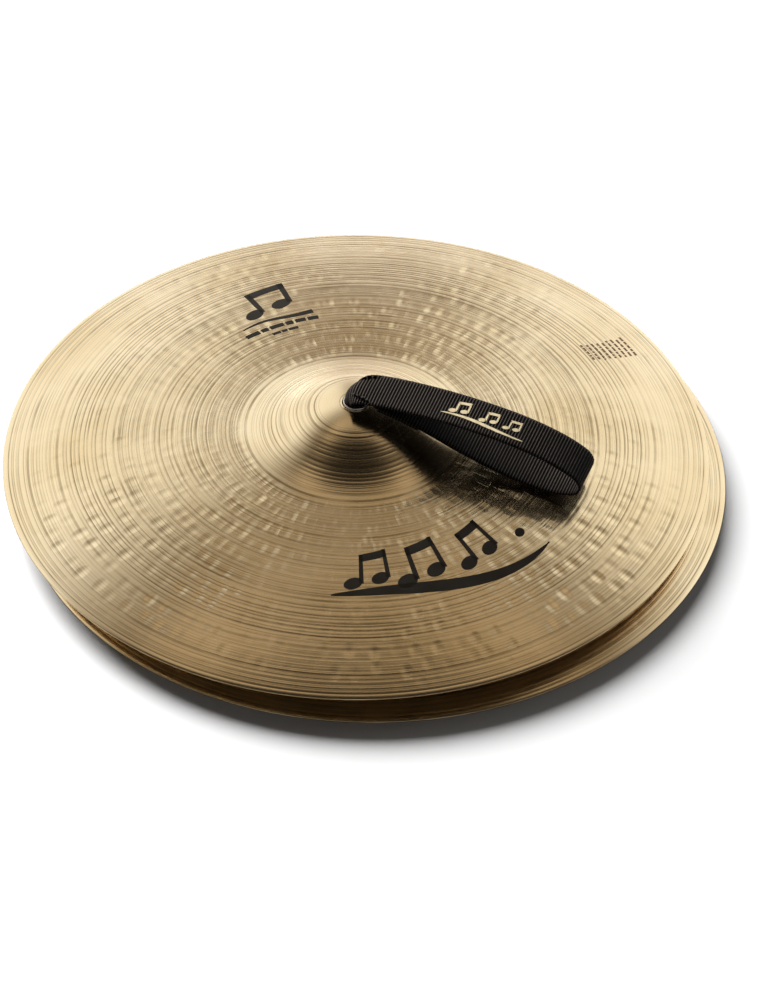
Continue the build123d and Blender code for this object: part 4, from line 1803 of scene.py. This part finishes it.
def near_side(cymbal: Cymbal, turn: float, base: float) -> SurfacePlace:
    """Lay a drawing on a plate so that its top points at the axis.

    Args:
        cymbal: The plate.
        turn: Angle of the drawing's middle, in degrees.
        base: Reach of its baseline.

    Returns:
        A function from a drawn point and a lift to a place in the model.
    """
    return lambda x, y, lift: cymbal.point(base - y, math.radians(turn) + x / (base - 12.0), lift)


def far_side(cymbal: Cymbal, turn: float, base: float) -> SurfacePlace:
    """Lay a drawing on a plate so that its top points away from the axis.

    Args:
        cymbal: The plate.
        turn: Angle of the drawing's middle, in degrees.
        base: Reach of its baseline.

    Returns:
        A function from a drawn point and a lift to a place in the model.
    """
    return lambda x, y, lift: cymbal.point(base + y, math.radians(turn) - x / (base + 12.0), lift)


def dress_hardware(frame: dict[str, Any], side: Side, steel: bpy.types.Material,
                   leather: bpy.types.Material) -> None:
    """Give one cymbal's packed sleeve, pin and washer their finishes.

    Args:
        frame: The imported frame.
        side: Whose hardware it is.
        steel: The finish of the sleeve and the pin.
        leather: The finish of the washer.
    """
    for part, finish in (("sleeve", steel), ("toggle_pin", steel), ("washer", leather)):
        materials = frame["nodes"][side.node(part)].data.materials
        materials.clear()
        materials.append(finish)


def both_straps(cymbals: dict[Side, Cymbal]) -> tuple[Strap, Strap]:
    """The two straps: the upper one lies to the right, the lower one to the left.

    Args:
        cymbals: Each side's plate.

    Returns:
        The upper strap and the lower strap.
    """
    upper, lower = cymbals[Side.UPPER], cymbals[Side.LOWER]
    right, left = math.radians(-18.5), math.radians(161.5)
    return (
        Strap(Side.UPPER, upper, right, upper_stations(), seam=(17.0, 43.0),
              bend_start=(0.0, 54.0), bend_end=(15.0, 58.0)),
        Strap(Side.LOWER, lower, left, lower_stations(lower, LowerLay()), seam=(20.0, 46.0),
              bend_start=(3.0, 50.5), bend_end=(10.0, 53.5), seam_outward=True),
    )


def print_emblems(upper: Cymbal, strap: Strap, groups: SharedGroups) -> None:
    """Make the printed marks of the upper plate and the upper strap.

    Args:
        upper: The upper plate.
        strap: The upper strap.
        groups: The shared node groups.
    """
    plate_body, loop_body = Side.UPPER.node("cymbal"), Side.UPPER.node("loop")
    ink = INK.material("black_ink", groups)
    etching = ETCHING.material("brown_etching", groups)
    cream = CREAM_PRINT.material("cream_print", groups)
    strap_middle = 78.0
    emblems = (
        (Emblem("near_mark", front_mark(), plate_body, "bronze", near_side(upper, 293.0, 140.0)), ink),
        (Emblem("far_mark", far_mark(), plate_body, "bronze", far_side(upper, 114.0, 106.0)), ink),
        (Emblem("side_mark", side_mark(), plate_body, "bronze", far_side(upper, 32.0, 171.0)), etching),
        (Emblem("strap_mark", strap_mark(), loop_body, "webbing",
                lambda x, y, lift: strap.outer_face(strap_middle + x, y, lift)), cream),
    )
    for emblem, finish in emblems:
        emblem.build(finish)


def main() -> None:
    """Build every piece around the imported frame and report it."""
    logging.basicConfig(level=logging.INFO, format="%(name)s: %(message)s")
    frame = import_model()
    cad_low, cad_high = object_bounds()
    groups = SharedGroups()
    plate_tree, rib_tree = turned_plate_tree(), webbing_tree()
    webbing = WebbingFinish().material("black_webbing", groups)
    steel = STEEL.material("turned_steel", groups)
    leather = LEATHER.material("washer_leather", groups)

    cymbals = {}
    for side in Side:
        cymbal = Cymbal(side)
        cymbals[side] = cymbal
        bronze = BronzeFinish().material(side.node("turned_bronze"), groups, cymbal.origin)
        plate = cymbal.build(plate_tree, bronze)
        LOG.info("%s: %d faces", plate.name, len(plate.data.polygons))
        dress_hardware(frame, side, steel, leather)

    straps = both_straps(cymbals)
    thread, sewing = THREAD.material("black_thread", groups), stitch_tree()
    for strap in straps:
        for piece in (strap.build(rib_tree, webbing), strap.stitches(sewing, thread)):
            LOG.info("%s: %d faces", piece.name, len(piece.data.polygons))

    upper = cymbals[Side.UPPER]
    print_emblems(upper, straps[0], groups)

    studio = Studio()
    studio.floor(cad_low.z)
    studio.lights()
    studio.camera(upper.origin + Vector((0.0, 0.0, upper.rim_thickness * MM)))
    bpy.context.scene.view_settings.view_transform = "Standard"


if __name__ == "__main__":
    main()
